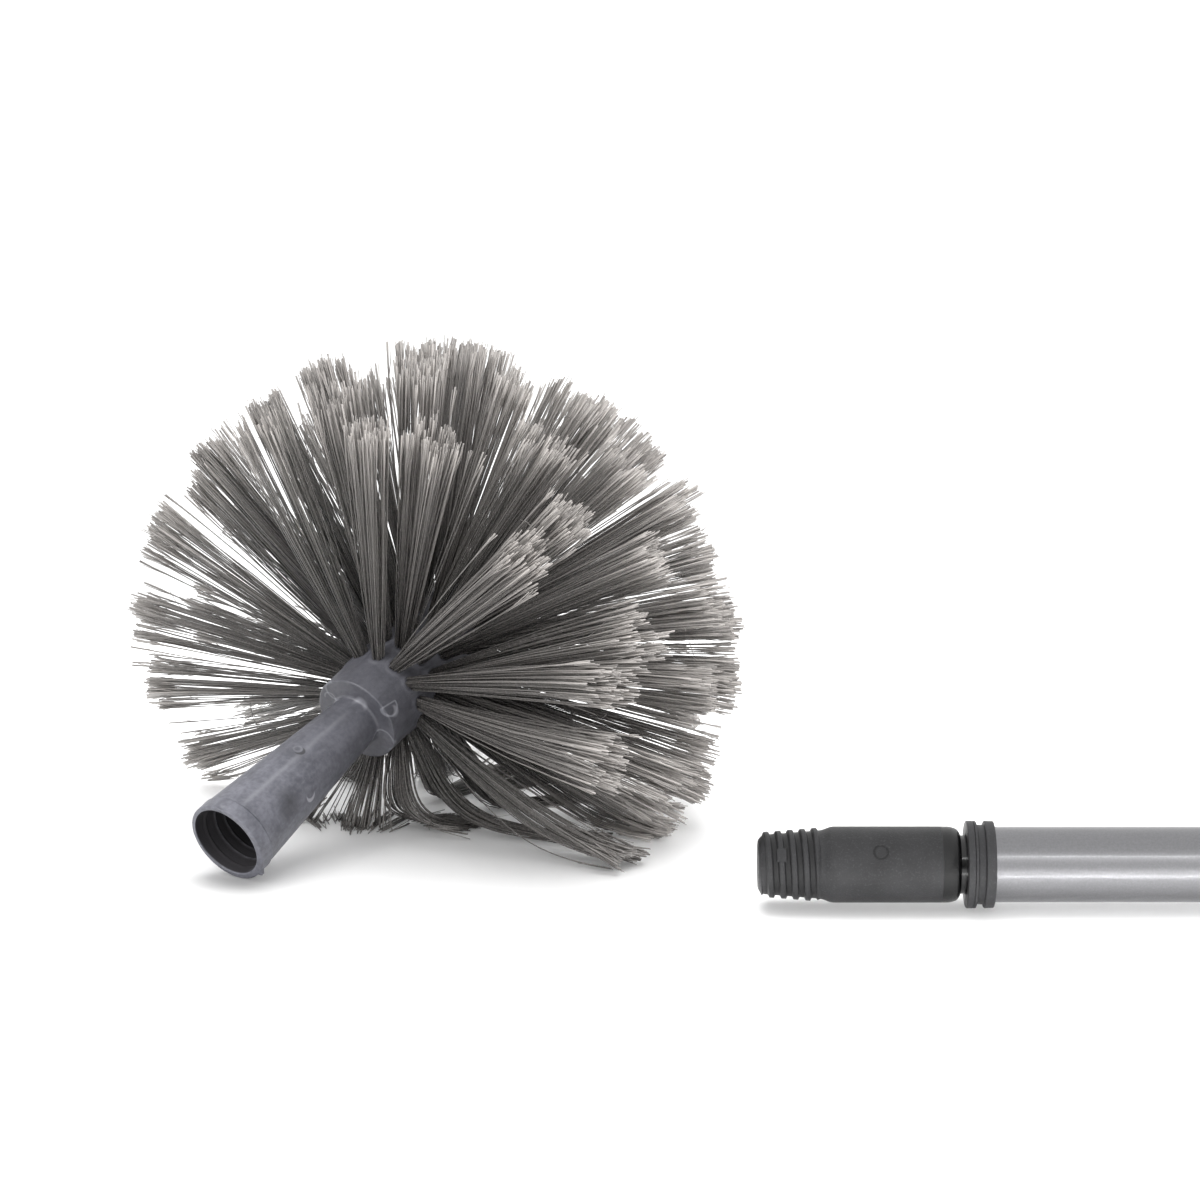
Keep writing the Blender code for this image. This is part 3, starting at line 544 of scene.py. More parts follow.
def build_tip():
    seat = INNER_RADIUS + FIT_GAP
    seat_floor = TIP_LENGTH - TIP_SEAT_DEPTH
    rear = TIP_LENGTH - TIP_REAR_STEP
    corners = [
        (0, TIP_END_WALL, 0),
        (TIP_CAVITY_RADIUS - TIP_CAVITY_DRAFT, TIP_END_WALL, SOFT_EDGE),
        (TIP_CAVITY_RADIUS, seat_floor, SOFT_EDGE),
        (seat, seat_floor, SMALL_EDGE),
        (seat, rear, FINE_EDGE),
        (seat + TIP_REAR_LIP, rear, SMALL_EDGE),
        (TIP_BODY - TIP_REAR_FALL[0], TIP_LENGTH - TIP_REAR_FALL[1], ROUND_EDGE),
        (TIP_BODY, TIP_LENGTH - TIP_REAR_CURVE, 1.6 * MM),
        (TIP_BODY, THREAD_LENGTH + TIP_SHOULDER, ROUND_EDGE),
        (ROOT_BACK + TIP_NECK[0], THREAD_LENGTH + TIP_NECK[1], ROUND_EDGE),
        (ROOT_FRONT + TIP_NOSE[0], TIP_NOSE[1], 1.5 * MM),
        (ROOT_FRONT - TIP_FACE_STEP, 0, ROUND_EDGE),
        (0, 0, 0),
    ]
    outline = refine(soften(corners), THREAD_MESH_STEP, 0, THREAD_LENGTH + 2 * MM)
    dark, light = (0.021, 0.021, 0.0225), (0.039, 0.039, 0.0415)
    marks = [(NIB_PLACE, *NIB_RING)]
    finish = plastic(
        "tip_plastic", dark, light, roughness=0.44, grain=1.0, scuff=0.2,
        marks=marks, shade_from=SHADED_REAR,
    )
    return lathe("tip_moulding", outline, POLE_PLACE, finish, 160, relief=tip_relief)


def groove_shade(angle, radius, along):
    """Painted shade at the bottom of the thread, with nothing on the pad and at the thread's ends.
    """
    depth = 1 - ease(tip_ridge(angle, along), 0.0, 0.6)
    threaded = window(along, 1.5 * MM, 3 * MM, THREAD_LENGTH - 3 * MM, THREAD_LENGTH)
    padded = radius > root_cone(along) + 0.8 * MM
    return depth * threaded * (radius > 8 * MM) * np.where(padded, 0.0, GROOVE_SHADE)


tip = build_tip()
store(tip, "groove", groove_shade(*place_about(POLE_PLACE, tip)))
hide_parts("threaded_tip")
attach(tip, "inner_pole")
print("tip faces:", len(tip.data.polygons))

# %% [markdown]
# ## The guide collar
#
# A spool of the same dark plastic closes the outer tube's mouth: two flanges with a groove between
# them, and a thin parting line in the front flange. The outline holds all of that, and the small
# nicks at its rear edge are relief.

# %% Guide collar
COLLAR_START = 68.7 * MM
COLLAR_LENGTH = 9.2 * MM
COLLAR_RADIUS = 14.45 * MM
COLLAR_CUP_DEPTH = 2.2 * MM
COLLAR_CUP_GAP = 0.15 * MM
COLLAR_SLEEVE_LENGTH = 24 * MM
COLLAR_FLANGE_LENGTH = 3.3 * MM
COLLAR_REAR_FLANGE = 5.95 * MM
COLLAR_GROOVE_DEPTH = 1.3 * MM
COLLAR_SLOPE = 0.2 * MM
PARTING_PLACE = 2.35 * MM
PARTING_HALF_WIDTH = 0.15 * MM
PARTING_DEPTH = 0.35 * MM
NICK_DEPTH = 1.1 * MM


def collar_relief(angle, radius, along):
    """Small nicks in the rear edge, where the moulding was cut from its gate."""
    place = along - COLLAR_START
    rear = ease(place, COLLAR_LENGTH - 1.2 * MM, COLLAR_LENGTH) * (radius > 13 * MM)
    nicks = np.maximum(0, np.sin(angle * 7 + 2) * np.sin(angle * 3 + 1.2) - 0.55)
    return radius - rear * nicks * NICK_DEPTH


def build_collar():
    end = COLLAR_START + COLLAR_LENGTH
    cup = end - COLLAR_CUP_DEPTH
    sleeve_end = cup + COLLAR_SLEEVE_LENGTH
    bore = INNER_RADIUS + FIT_GAP
    sleeve = TUBE_RADIUS - TUBE_WALL - FIT_GAP
    seat = TUBE_RADIUS + COLLAR_CUP_GAP
    front_flange = COLLAR_START + COLLAR_FLANGE_LENGTH
    rear_flange = COLLAR_START + COLLAR_REAR_FLANGE
    groove = COLLAR_RADIUS - COLLAR_GROOVE_DEPTH
    parting = COLLAR_START + PARTING_PLACE
    corners = [
        (bore, sleeve_end, SOFT_EDGE),
        (sleeve, sleeve_end, SOFT_EDGE),
        (sleeve, cup, FINE_EDGE),
        (seat, cup, FINE_EDGE),
        (seat, end, COLLAR_CUP_GAP),
        (COLLAR_RADIUS, end, SOFT_EDGE),
        (COLLAR_RADIUS, rear_flange, SOFT_EDGE),
        (groove, rear_flange - COLLAR_SLOPE, SMALL_EDGE),
        (groove, front_flange + COLLAR_SLOPE, SMALL_EDGE),
        (COLLAR_RADIUS, front_flange, SOFT_EDGE),
        (COLLAR_RADIUS, parting + PARTING_HALF_WIDTH, PARTING_HALF_WIDTH),
        (COLLAR_RADIUS - PARTING_DEPTH, parting, FINE_EDGE),
        (COLLAR_RADIUS, parting - PARTING_HALF_WIDTH, PARTING_HALF_WIDTH),
        (COLLAR_RADIUS, COLLAR_START, SOFT_EDGE),
        (bore, COLLAR_START, SOFT_EDGE),
    ]
    dark, light = (0.031, 0.031, 0.033), (0.045, 0.045, 0.048)
    finish = plastic("collar_plastic", dark, light, roughness=0.45, grain=0.7, scuff=0.2)
    outline = soften(corners, closed=True)
    return lathe("collar_moulding", outline, POLE_PLACE, finish, 144, True, collar_relief)


collar = build_collar()
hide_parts("guide_collar")
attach(collar, "outer_pole")
print("collar faces:", len(collar.data.polygons))

# %% [markdown]
# ## The hand grip
#
# The rear of the pole is out of the picture. Such handles have a soft sleeve there, grooved for the
# fingers. Fine ribs run round it between the grooves: a relief of a fast sine along the sleeve is
# cheaper than modelling each rib, and reads the same from a step away.

# %% Hand grip
GRIP_GROOVES = 5
GRIP_GROOVE_DEPTH = 0.9 * MM
GRIP_GROOVE_HALF_WIDTH = 1.8 * MM
GRIP_EDGE = 2 * MM
GRIP_WALL = 0.8 * MM
RIB_PITCH = 2 * MM
RIB_HALF_DEPTH = 0.18 * MM
RIB_MARGIN = 6 * MM
RIB_MESH_STEP = 0.3 * MM
RIB_MESH_MARGIN = 5 * MM


def build_grip():
    low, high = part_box("hand_grip")
    bore = TUBE_RADIUS + FIT_GAP
    pitch = (high.x - low.x - 2 * GRIP_EDGE) / (GRIP_GROOVES + 1)
    corners = [(bore, low.x, 0.2 * MM), (bore, high.x, 0.2 * MM)]
    corners.append((COLLAR_RADIUS, high.x, 0.8 * MM))
    for i in range(GRIP_GROOVES, 0, -1):
        middle = low.x + GRIP_EDGE + i * pitch
        corners += [
            (COLLAR_RADIUS, middle + GRIP_GROOVE_HALF_WIDTH, 1.0 * MM),
            (COLLAR_RADIUS - GRIP_GROOVE_DEPTH, middle, 1.0 * MM),
            (COLLAR_RADIUS, middle - GRIP_GROOVE_HALF_WIDTH, 1.0 * MM),
        ]
    corners += [(COLLAR_RADIUS, low.x + GRIP_EDGE, 1.5 * MM), (bore + GRIP_WALL, low.x, 0.4 * MM)]
    start, end = low.x + RIB_MARGIN, high.x - RIB_MARGIN

    def ribs(_, radius, along):
        """Fine ribs round the outside, which fade out at both ends of the sleeve."""
        outside = radius > COLLAR_RADIUS - 0.02 * MM
        inner = window(along, start, start + RIB_PITCH, end - RIB_PITCH, end)
        ripple = 1 + np.cos(along * 2 * math.pi / RIB_PITCH)
        return radius - outside * inner * RIB_HALF_DEPTH * ripple

    ribbed = low.x + RIB_MESH_MARGIN, high.x - RIB_MESH_MARGIN
    outline = refine(soften(corners, closed=True), RIB_MESH_STEP, *ribbed)
    dark, light = (0.03, 0.03, 0.032), (0.04, 0.04, 0.043)
    finish = plastic("grip_plastic", dark, light, roughness=0.62, grain=0.5, scuff=0.05)
    return lathe("grip_sleeve", outline, POLE_PLACE, finish, 96, True, ribs)


grip = build_grip()
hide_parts("hand_grip")
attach(grip, "outer_pole")
print("grip faces:", len(grip.data.polygons))

# %% [markdown]
# ## The hanging cap
#
# A plug with a round flange and a flat eye behind it. The eye's solid is already right, down to its
# hole, so the node's own shape is kept: it gets a bevel that softens its edges. A copy of the node
# carries that bevel, and the node itself stays as it is, hidden.

# %% Hanging cap
CAP_BEVEL = 0.5 * MM
BEVEL_ANGLE = math.radians(35)


def dress(piece, material):
    """Give a piece its only finish."""
    piece.data.materials.clear()
    piece.data.materials.append(material)


def rounded_copy(node, name, bevel):
    """A copy of a node with rounded edges and smooth shading, in place of the node."""
    made = add_object(name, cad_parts[node].data.copy())
    merge_poles(made)
    made.data.polygons.foreach_set("use_smooth", [True] * len(made.data.polygons))
    rounding = made.modifiers.new("rounding", "BEVEL")
    rounding.width = bevel
    rounding.segments = 3
    rounding.limit_method = "ANGLE"
    rounding.angle_limit = BEVEL_ANGLE
    rounding.harden_normals = True
    return made


cap = rounded_copy("hanging_cap", "cap_moulding", CAP_BEVEL)
dress(cap, plastic(
    "cap_plastic", (0.03, 0.03, 0.032), (0.042, 0.042, 0.045),
    roughness=0.45, grain=0.4, scuff=0.15,
))
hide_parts("hanging_cap")
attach(cap, "outer_pole")
print("cap faces before the bevel:", len(cap.data.polygons))

# %% [markdown]
# ## The lock inside the tube
#
# Plug, expander, washer and screw sit unseen inside the outer tube, so their nodes stay as they are
# and get a finish of their own: natural white plastic with a little grain, and zinc-plated steel.

# %% Lock finishes
def zinc():
    made, tree, shader, place = start_material("zinc_steel", 0.35, 1.0)
    spangle = noise(tree, place, 500)
    colour = ramp(tree, spangle, [(0.35, (0.5, 0.5, 0.52)), (0.65, (0.62, 0.62, 0.64))])
    feed(tree, shader, colour, spread(tree, spangle, 0.3, 0.7, 0.28, 0.42))
    add_bump(tree, shader, spangle, 0.1, 0.05 * MM)
    return made


lock_white = plastic(
    "lock_plastic", (0.62, 0.61, 0.57), (0.72, 0.71, 0.67),
    roughness=0.45, grain=0.2, scuff=0.02,
)
lock_zinc = zinc()
for node, finish in (
    ("lock_plug", lock_white), ("lock_expander", lock_white),
    ("lock_washer", lock_zinc), ("lock_screw", lock_zinc),
):
    dress(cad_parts[node], finish)
    print(node, "gets", finish.name)

# %% [markdown]
# ## Where the head lies
#
# The head leans on its socket's rim and on its lowest bristles. Its axis rises by 22.97 degrees and
# is turned by 53.2 degrees from the pole. As in the construction, a matrix carries the head's own
# frame, whose Z is the socket's axis and whose X points down, into the world.

# %% Head frame
FLOOR = -14.45 * MM
HEAD_TILT = math.radians(22.97)
HEAD_TURN = math.radians(53.2)
MOUTH_RADIUS = 15 * MM
MOUTH_PLACE = (-178 * MM, 27 * MM, FLOOR + MOUTH_RADIUS * math.cos(HEAD_TILT))
HEAD_PLACE = (
    Matrix.Translation(MOUTH_PLACE)
    @ Matrix.Rotation(HEAD_TURN, 4, "Z")
    @ Matrix.Rotation(math.pi / 2 - HEAD_TILT, 4, "Y")
)
print("middle of the socket's mouth:", [round(c, 4) for c in MOUTH_PLACE])

# %% Rows of tufts
HUB_RADIUS = 16.25 * MM
HUB_START = 85.45 * MM
ROW_COUNT = 5
ROW_PITCH = 9.5 * MM
ROW_TUFTS = 13
ROW_FIRST_ANGLE = math.radians(-4)
NOSE_RIM = HUB_START + ROW_COUNT * ROW_PITCH + 2.5 * MM
NOSE_HEIGHT = 8 * MM
NOSE_COUNTS = (9, 5, 1)
NOSE_LEANS = (54, 72, 90)
NOSE_RADIUS_SHARES = (0.66, 0.34, 0.0)


def row_place(row, tuft):
    """Angle about the axis and place along it of one tuft. Every second row is staggered."""
    angle = ROW_FIRST_ANGLE + 2 * math.pi * (tuft + (row % 2) / 2) / ROW_TUFTS
    return angle, HUB_START + ROW_PITCH * (row + 0.5)


HUB_HOLES = [row_place(row, tuft) for row in range(ROW_COUNT) for tuft in range(ROW_TUFTS)]
print("tufts:", len(HUB_HOLES) + sum(NOSE_COUNTS))

# %% [markdown]
# ## The head's moulding
#
# Socket, flange and hub are one blue-grey moulding. Its mouth is a thick ring with a nick above and
# a sharp bit of flash below, the bore carries the coarse thread as thin ridges, a parting line runs
# along the socket, and the hub swells round each tuft where the bristles were driven in. All of
# that is relief on one lathe outline.

# %% Marks on the head's surface
SOCKET_LENGTH = 74 * MM
BORE_RADIUS = 12.35 * MM
BORE_END_RADIUS = 7.6 * MM
BORE_DEPTH = 56 * MM
MOUTH_FLARE = 0.8 * MM
FLARE_DEPTH = 10 * MM
HOLE_RIM = 2.9 * MM
SWELL_WIDTH = 0.8 * MM
PARTING_ANGLES = (math.radians(-152), math.radians(28))
PARTING_WIDTH = 0.9 * MM


def turned_from(angle, middle):
    """Signed angle from a middle one, between half a turn back and half a turn on."""
    return (angle - middle + math.pi) % (2 * math.pi) - math.pi


def hub_swelling(angle, along):
    """Height share of the plastic thrown up round the tufts' holes, and the dip in each."""
    height = np.zeros_like(along)
    for hole_angle, hole_along in HUB_HOLES:
        away = np.hypot(turned_from(angle, hole_angle) * HUB_RADIUS, along - hole_along)
        height = np.maximum(height, np.exp(-((away - HOLE_RIM) / SWELL_WIDTH) ** 2))
        dip = np.maximum(height, 0.2 - 1.6 * (1 - away / HOLE_RIM))
        height = np.where(away < HOLE_RIM, dip, height)
    return height


def rim_dent(angle, along, middle, width, depth):
    """A local bump near the mouth, centred on an angle, which fades along the socket."""
    turned = turned_from(angle, math.radians(middle))
    return depth * np.exp(-(turned / width) ** 2) * (1 - ease(along, 0.8 * MM, 2.6 * MM))


def parting_line(angle, radius, along):
    """1 on the two lines along the socket where the mould's halves met."""
    away = [turned_from(angle, middle) * radius / PARTING_WIDTH for middle in PARTING_ANGLES]
    lines = [np.exp(-off ** 2) for off in away]
    return np.maximum(*lines) * window(along, 5 * MM, 9 * MM, 64 * MM, 70 * MM)


def bore_radius(along):
    """Radius of the bore: a long cone that flares a little more near the mouth."""
    cone = BORE_RADIUS + (BORE_END_RADIUS - BORE_RADIUS) * along / BORE_DEPTH
    return cone + MOUTH_FLARE * np.clip(1 - along / FLARE_DEPTH, 0, 1)


print("bore at the mouth, mm:", round(float(bore_radius(0)) / MM, 2))

# %% Relief of the head
BORE_THREAD_DEPTH = 0.5 * MM
BORE_PHASE_SHARE = 0.2
CORE_SHIFT = 0.7 * MM
CORE_SHIFT_ANGLE = math.radians(100)
PARTING_HEIGHT = 0.12 * MM
SWELL_HEIGHT = 0.42 * MM


def head_relief(angle, radius, along):
    """Thread, parting lines, rim damage and hub swellings as changes of the radius."""
    inside = (along < BORE_DEPTH) & (radius < bore_radius(along) + 0.3 * MM) & (radius > 6 * MM)
    ridge = ease(thread_phase(angle, along, BORE_PHASE_SHARE), 0.72, 0.97)
    thread = BORE_THREAD_DEPTH * ridge * window(along, 2.5 * MM, 4.5 * MM, 30 * MM, 36 * MM)
    shift = CORE_SHIFT * np.cos(angle - CORE_SHIFT_ANGLE) * (1 - ease(along, 0, FLARE_DEPTH))
    radius = np.where(inside, radius - thread + shift, radius)
    rim = (along < 3 * MM) & (radius > 14 * MM)
    flash = rim_dent(angle, along, -46, 0.07, 1.3 * MM)
    nick = rim_dent(angle, along, -170, 0.12, -0.6 * MM)
    radius = np.where(rim, radius + flash + nick, radius)
    skin = (radius > bore_radius(along) + 1 * MM) & (along < SOCKET_LENGTH - 3 * MM)
    seam = PARTING_HEIGHT * parting_line(angle, radius, along)
    radius = np.where(skin, radius + seam, radius)
    hub = (along > HUB_START - 2 * MM) & (radius > HUB_RADIUS - 0.2 * MM)
    swell = SWELL_HEIGHT * ease(along, HUB_START, HUB_START + 1.5 * MM)
    return np.where(hub, radius + swell * hub_swelling(angle, along), radius)


# %% Outline of the head
NECK_RADIUS = 9.25 * MM
MOUTH_BAND = 5.5 * MM
MOUTH_STEP = 0.35 * MM
MOUTH_CHAMFER = 0.4 * MM
BORE_MESH_STEP = 0.3 * MM
BORE_MESH_DEPTH = 36 * MM
HUB_MESH_STEP = 0.7 * MM
HUB_MESH_LEAD = 3 * MM
DOME_STEPS = 12


def head_outline():
    """Outline from the bore's bottom round the mouth to the hub's domed nose."""
    corners = [
        (0, BORE_DEPTH, 0),
        (BORE_END_RADIUS, BORE_DEPTH, SOFT_EDGE),
        (bore_radius(FLARE_DEPTH), FLARE_DEPTH, SOFT_EDGE),
        (BORE_RADIUS + MOUTH_FLARE, 0, 0.35 * MM),
        (MOUTH_RADIUS, 0, SOFT_EDGE),
        (MOUTH_RADIUS, MOUTH_BAND, SMALL_EDGE),
        (MOUTH_RADIUS - MOUTH_STEP, MOUTH_BAND + MOUTH_CHAMFER, SMALL_EDGE),
        (NECK_RADIUS, SOCKET_LENGTH, ROUND_EDGE),
        (HUB_RADIUS, SOCKET_LENGTH, 0.7 * MM),
        (HUB_RADIUS, NOSE_RIM, 0),
    ]
    points = refine(soften(corners)[:-1], BORE_MESH_STEP, -1 * MM, BORE_MESH_DEPTH)
    hub = [points[-1], Vector((HUB_RADIUS, NOSE_RIM))]
    points += refine(hub, HUB_MESH_STEP, HUB_START - HUB_MESH_LEAD, NOSE_RIM)[1:]
    for step in range(1, DOME_STEPS + 1):
        lift = step / DOME_STEPS * math.pi / 2
        top = NOSE_RIM + NOSE_HEIGHT * math.sin(lift)
        points.append(Vector((HUB_RADIUS * math.cos(lift), top)))
    return points


print("points of the outline:", len(head_outline()))

# %% [markdown]
# ## Witness marks of the head's mould
#
# The photograph shows crescents, a loop, a disc and smudges on this moulding. None of them is a
# letter. They are drawn by distance in the material: a ring about a point, left open on one side,
# and a ball of colour, from which a second ball may cut a crescent. The light crescents are
# painted highlights and the dark one painted shade, on the sides of small bumps.

# %% Places of the marks
# Rings: place along in mm, angle round in degrees and radius out in mm of the middle, the ring's
# radius and line width, how much it shows, and the way (along, round) in which it is left open.
HEAD_RINGS = (
    (76.9, -112, 16.25, 3.3, 0.45, 0.45, (1, -20)),
    (74, -56, 12.3, 4.2, 0.5, 0.35, (0, 40)),
    (74, 150, 12.6, 3.6, 0.5, 0.3, (0, 30)),
    (74, 128, 11.8, 2.4, 0.4, 0.3, (0, -30)),
    (40.6, -163, 11.6, 1.4, 0.45, 0.3, None),
)
# Crescents and smudges: the middle, the radius, the shift (along, round) of the ball that cuts
# into it, the softness of the edge, how much it shows and how light it is. The light crescents
# are painted highlights and the dark one painted shade of small bumps; the smudges are stains.
HEAD_SPOTS = (
    (31.3, -90, 12.6, 2.3, (0.3, -6), 0.1, 0.9, 0.36),
    (40.2, -157, 11.9, 1.9, (0.3, -6), 0.1, 0.8, 0.03),
    (21.8, -109, 12.6, 3.6, None, 0.8, 0.7, 0.04),
    (17.0, -100, 12.9, 2.2, None, 0.8, 0.5, 0.045),
    (39.5, -162, 11.7, 2.6, None, 0.7, 0.3, 0.05),
    (77.6, -104, 16.25, 2.0, (-1.5, -5), 0.2, 0.5, 0.3),
    (72.9, -147, 9.4, 2.4, (-1.6, 2), 0.3, 0.6, 0.3),
)
CUT_REACH_SHARE = 0.35  # of a ring's radius, from its middle to the cut that opens it
CUT_SOFTNESS = 0.2 * MM
HUB_MARKS_FROM = 75  # mm along: rings beyond it are closed with a chord


def head_point(along, angle, radius):
    """World place of a point of the head, from millimetres and degrees."""
    turn = math.radians(angle)
    point = Vector((radius * math.cos(turn), radius * math.sin(turn), along))
    return HEAD_PLACE @ (point * MM)


def ball_mask(tree, place, centre, radius, soft, outside, inside):
    """One value in a ball about a point and another outside it, with an edge of some softness."""
    away = measure(tree, "DISTANCE", place, centre)
    return spread(tree, away, (1 - soft) * radius, (1 + soft) * radius, inside, outside)


def behind(tree, place, centre, towards, reach):
    """1 where a point lies less than a reach ahead of a centre, in one direction."""
    off = add_node(tree, "ShaderNodeVectorMath", {"operation": "SUBTRACT"}, _0=place, _1=centre)
    ahead = measure(tree, "DOT_PRODUCT", off.outputs["Vector"], towards)
    return spread(tree, ahead, reach - CUT_SOFTNESS, reach + CUT_SOFTNESS, 1.0, 0.0)


def ring_mark(tree, place, along, angle, radius, ring, width, opening):
    """A ring on the head, open on one side, and closed by a chord where it lies on the hub."""
    middle = head_point(along, angle, radius)
    mark = ring_mask(tree, place, middle, ring * MM, width * MM)
    if opening is None:
        return mark
    towards = (head_point(along + opening[0], angle + opening[1], radius) - middle).normalized()
    reach = CUT_REACH_SHARE * ring * MM
    cut = behind(tree, place, middle, towards, reach)
    mark = calculate(tree, "MULTIPLY", mark, cut)
    if along > HUB_MARKS_FROM:
        beyond = behind(tree, place, middle, -towards, width * MM - reach)
        chord = calculate(tree, "MULTIPLY", cut, beyond)
        disc = ball_mask(tree, place, middle, ring * MM, 0.1, 0.0, 1.0)
        chord = calculate(tree, "MULTIPLY", chord, disc)
        mark = calculate(tree, "MAXIMUM", mark, chord)
    return mark


def spot_mark(tree, place, along, angle, radius, ball, shift, soft, show):
    """A soft round spot on the head, cut to a crescent where a shift is given. A light crescent is
    a painted highlight and a dark one painted shade of a small bump.
    """
    middle = head_point(along, angle, radius)
    mark = ball_mask(tree, place, middle, ball * MM, soft, 0.0, show)
    if shift is not None:
        middle = head_point(along + shift[0], angle + shift[1], radius)
        cut = ball_mask(tree, place, middle, ball * MM, soft, 1.0, 0.0)
        mark = calculate(tree, "MULTIPLY", mark, cut)
    return mark


print("marks on the head:", len(HEAD_RINGS) + len(HEAD_SPOTS))

# %% [markdown]
# ## The head's finish
#
# This moulding shows more than any other: cloudy plastic with streaks along the socket, a raised
# parting line painted pale, which is partly a painted highlight, and painted shade that darkens it
# towards the bristles and inside the bore. The mesh stores where the bore, the parting line and the
# hub are, so that the material can follow them.

# %% Head finish
HUB_SHADE_COLOUR = (0.035, 0.034, 0.04)
BORE_SHADE_COLOUR = (0.0125, 0.011, 0.0135)
MARK_COLOUR = (0.3, 0.303, 0.335)
STREAK_STRETCH = 9


def cloudy_colour(tree, place, clouds, streaks, speckles):
    """The blue-grey moulding with streaks, mottles, a pale seam, painted shade and specks."""
    mottles = noise(tree, place, 650)
    colour = ramp(tree, clouds, [(0.3, (0.095, 0.097, 0.115)), (0.66, (0.165, 0.167, 0.195))])
    for texture, low, high, at_low, at_high, tone in (
        (streaks, 0.5, 0.78, 0.0, 0.3, (0.24, 0.243, 0.275)),
        (streaks, 0.24, 0.44, 0.4, 0.0, (0.07, 0.07, 0.085)),
        (mottles, 0.34, 0.5, 0.3, 0.0, (0.06, 0.06, 0.075)),
        (mottles, 0.52, 0.7, 0.0, 0.3, (0.23, 0.233, 0.265)),
        # the raised parting line, painted paler: a painted highlight along it
        (stored(tree, "seam"), 0, 1, 0.0, 0.5, (0.27, 0.273, 0.3)),
        # painted shade towards the bristles, stored as a share along the head
        (stored(tree, "hub_shade"), 0, 1, 0.0, 0.64, HUB_SHADE_COLOUR),
        (speckles, 0.66, 0.8, 0.0, 0.35, (0.3, 0.3, 0.33)),
    ):
        colour = mix(tree, spread(tree, texture, low, high, at_low, at_high), colour, tone)
    return colour


def head_finish():
    made, tree, shader, place = start_material("head_plastic", 0.42)
    lengthwise = add_node(
        tree, "ShaderNodeMapping", {"vector_type": "TEXTURE"}, Vector=place,
        Location=HEAD_PLACE.translation, Rotation=HEAD_PLACE.to_euler(),
        Scale=(1, 1, STREAK_STRETCH),
    ).outputs["Vector"]
    clouds = noise(tree, place, 110, 7.0)
    streaks = noise(tree, lengthwise, 420, 5.0)
    speckles = noise(tree, place, 2400, 2.0)
    colour = cloudy_colour(tree, place, clouds, streaks, speckles)
    height = calculate(tree, "ADD", speckles, streaks)
    for *ring, show, opening in HEAD_RINGS:
        mark = ring_mark(tree, place, *ring, opening)
        colour = mix(tree, calculate(tree, "MULTIPLY", mark, show), colour, MARK_COLOUR)
        height = calculate(tree, "ADD", height, mark)
    # Spots: light crescents are painted highlights, the dark crescent painted shade, smudges
    # stains.
    for *spot, level in HEAD_SPOTS:
        colour = mix(tree, spot_mark(tree, place, *spot), colour, (level, level, level * 1.1))
    # Painted shade inside the bore, which is also made rougher there.
    bore = stored(tree, "bore")
    roughness = spread(tree, clouds, 0.3, 0.7, 0.36, 0.5)
    roughness = calculate(tree, "MAXIMUM", roughness, calculate(tree, "MULTIPLY", bore, 0.85))
    feed(tree, shader, mix(tree, bore, colour, BORE_SHADE_COLOUR), roughness)
    add_bump(tree, shader, height, 0.35, 0.15 * MM)
    return made


# %% Head
outline = head_outline()
head = lathe("head_moulding", outline, HEAD_PLACE, head_finish(), 192, relief=head_relief)
angle, radius, along = place_about(HEAD_PLACE, head)
in_bore = (radius < bore_radius(along) + CORE_SHIFT + 0.45 * MM) & (along < BORE_DEPTH + 1 * MM)
# Painted shade in the bore, from just inside the mouth, a little lighter on the thread's crests.
crest = ease(bore_radius(along) - radius, 0.25 * MM, 0.5 * MM)
shadow = ease(along, 0.1 * MM, 0.7 * MM) * (1 - 0.22 * crest)
store(head, "bore", np.where(in_bore, shadow, 0))
# The parting line's pale colour is a painted highlight along the raised seam.
store(head, "seam", np.where(in_bore, 0, parting_line(angle, radius, along)))
# Painted shade: darker towards the hub and its bristles.
store(head, "hub_shade", ease(along, 20 * MM, 84 * MM))
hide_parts("brush_core")
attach(head, "outer_pole")
print("head faces:", len(head.data.polygons))

# %% [markdown]
# ## The bristles
#
# Each tuft is a bundle of thin filaments, folded over a staple deep in its hole. They leave the hub
# side by side and fan out, and the whole ball is then trimmed round. Modelling them one by one is
# the honest way: a hair system would be lost in the export, and a painted fan shows its flatness
# from every other side. So each filament is a three-sided tube along its own path. They cling
# together in clumps, which are cut to slightly different lengths, and a few loners stand off.

# %% Filament directions
BALL_RADIUS = 109 * MM
BALL_CENTRE = 120 * MM
TUFT_CLUMPS = 13
CLUMP_FILAMENTS = 5
CLUMP_SPREAD_SHARE = 0.2
CLUMP_CUT = (-1 * MM, 1.5 * MM)  # mean and spread of what a clump stands out of the ball
FILAMENT_CUT = 0.6 * MM
CLUMP_SHAKE = 0.12
FILAMENT_SHAKE = 0.05
LONER_SHARE = 0.1
LONER_REACH = (1.1, 1.9)
ROOT_SPREAD = 2.1 * MM
TUFT_LENGTH = 92 * MM
TIP_SPREAD_ACROSS = 11 * MM
TIP_SPREAD_ALONG = 8.5 * MM
FILAMENT_SINK = 3 * MM
GOLDEN_ANGLE = math.pi * (3 - math.sqrt(5))


def unit(vectors):
    """Vectors of length 1 in the same directions."""
    return vectors / np.linalg.norm(vectors, axis=-1, keepdims=True)


def sunflower(count, turned):
    """Evenly packed points of a unit disc."""
    order = np.arange(count)
    out = np.sqrt((order + 0.5) / count)
    turn = order * GOLDEN_ANGLE + turned
    return np.stack([out * np.cos(turn), out * np.sin(turn)], 1)


def tuft_heading(angle, lean, sway):
    """Unit vector in the head's frame: radial, leant towards the nose, swayed round the axis."""
    radial = np.array([math.cos(angle), math.sin(angle), 0])
    side = np.array([-math.sin(angle), math.cos(angle), 0])
    axis = np.array([0, 0, 1])
    lean, sway = math.radians(lean), math.radians(sway)
    leant = radial * math.cos(lean) + axis * math.sin(lean)
    return leant * math.cos(sway) + side * math.sin(sway), side


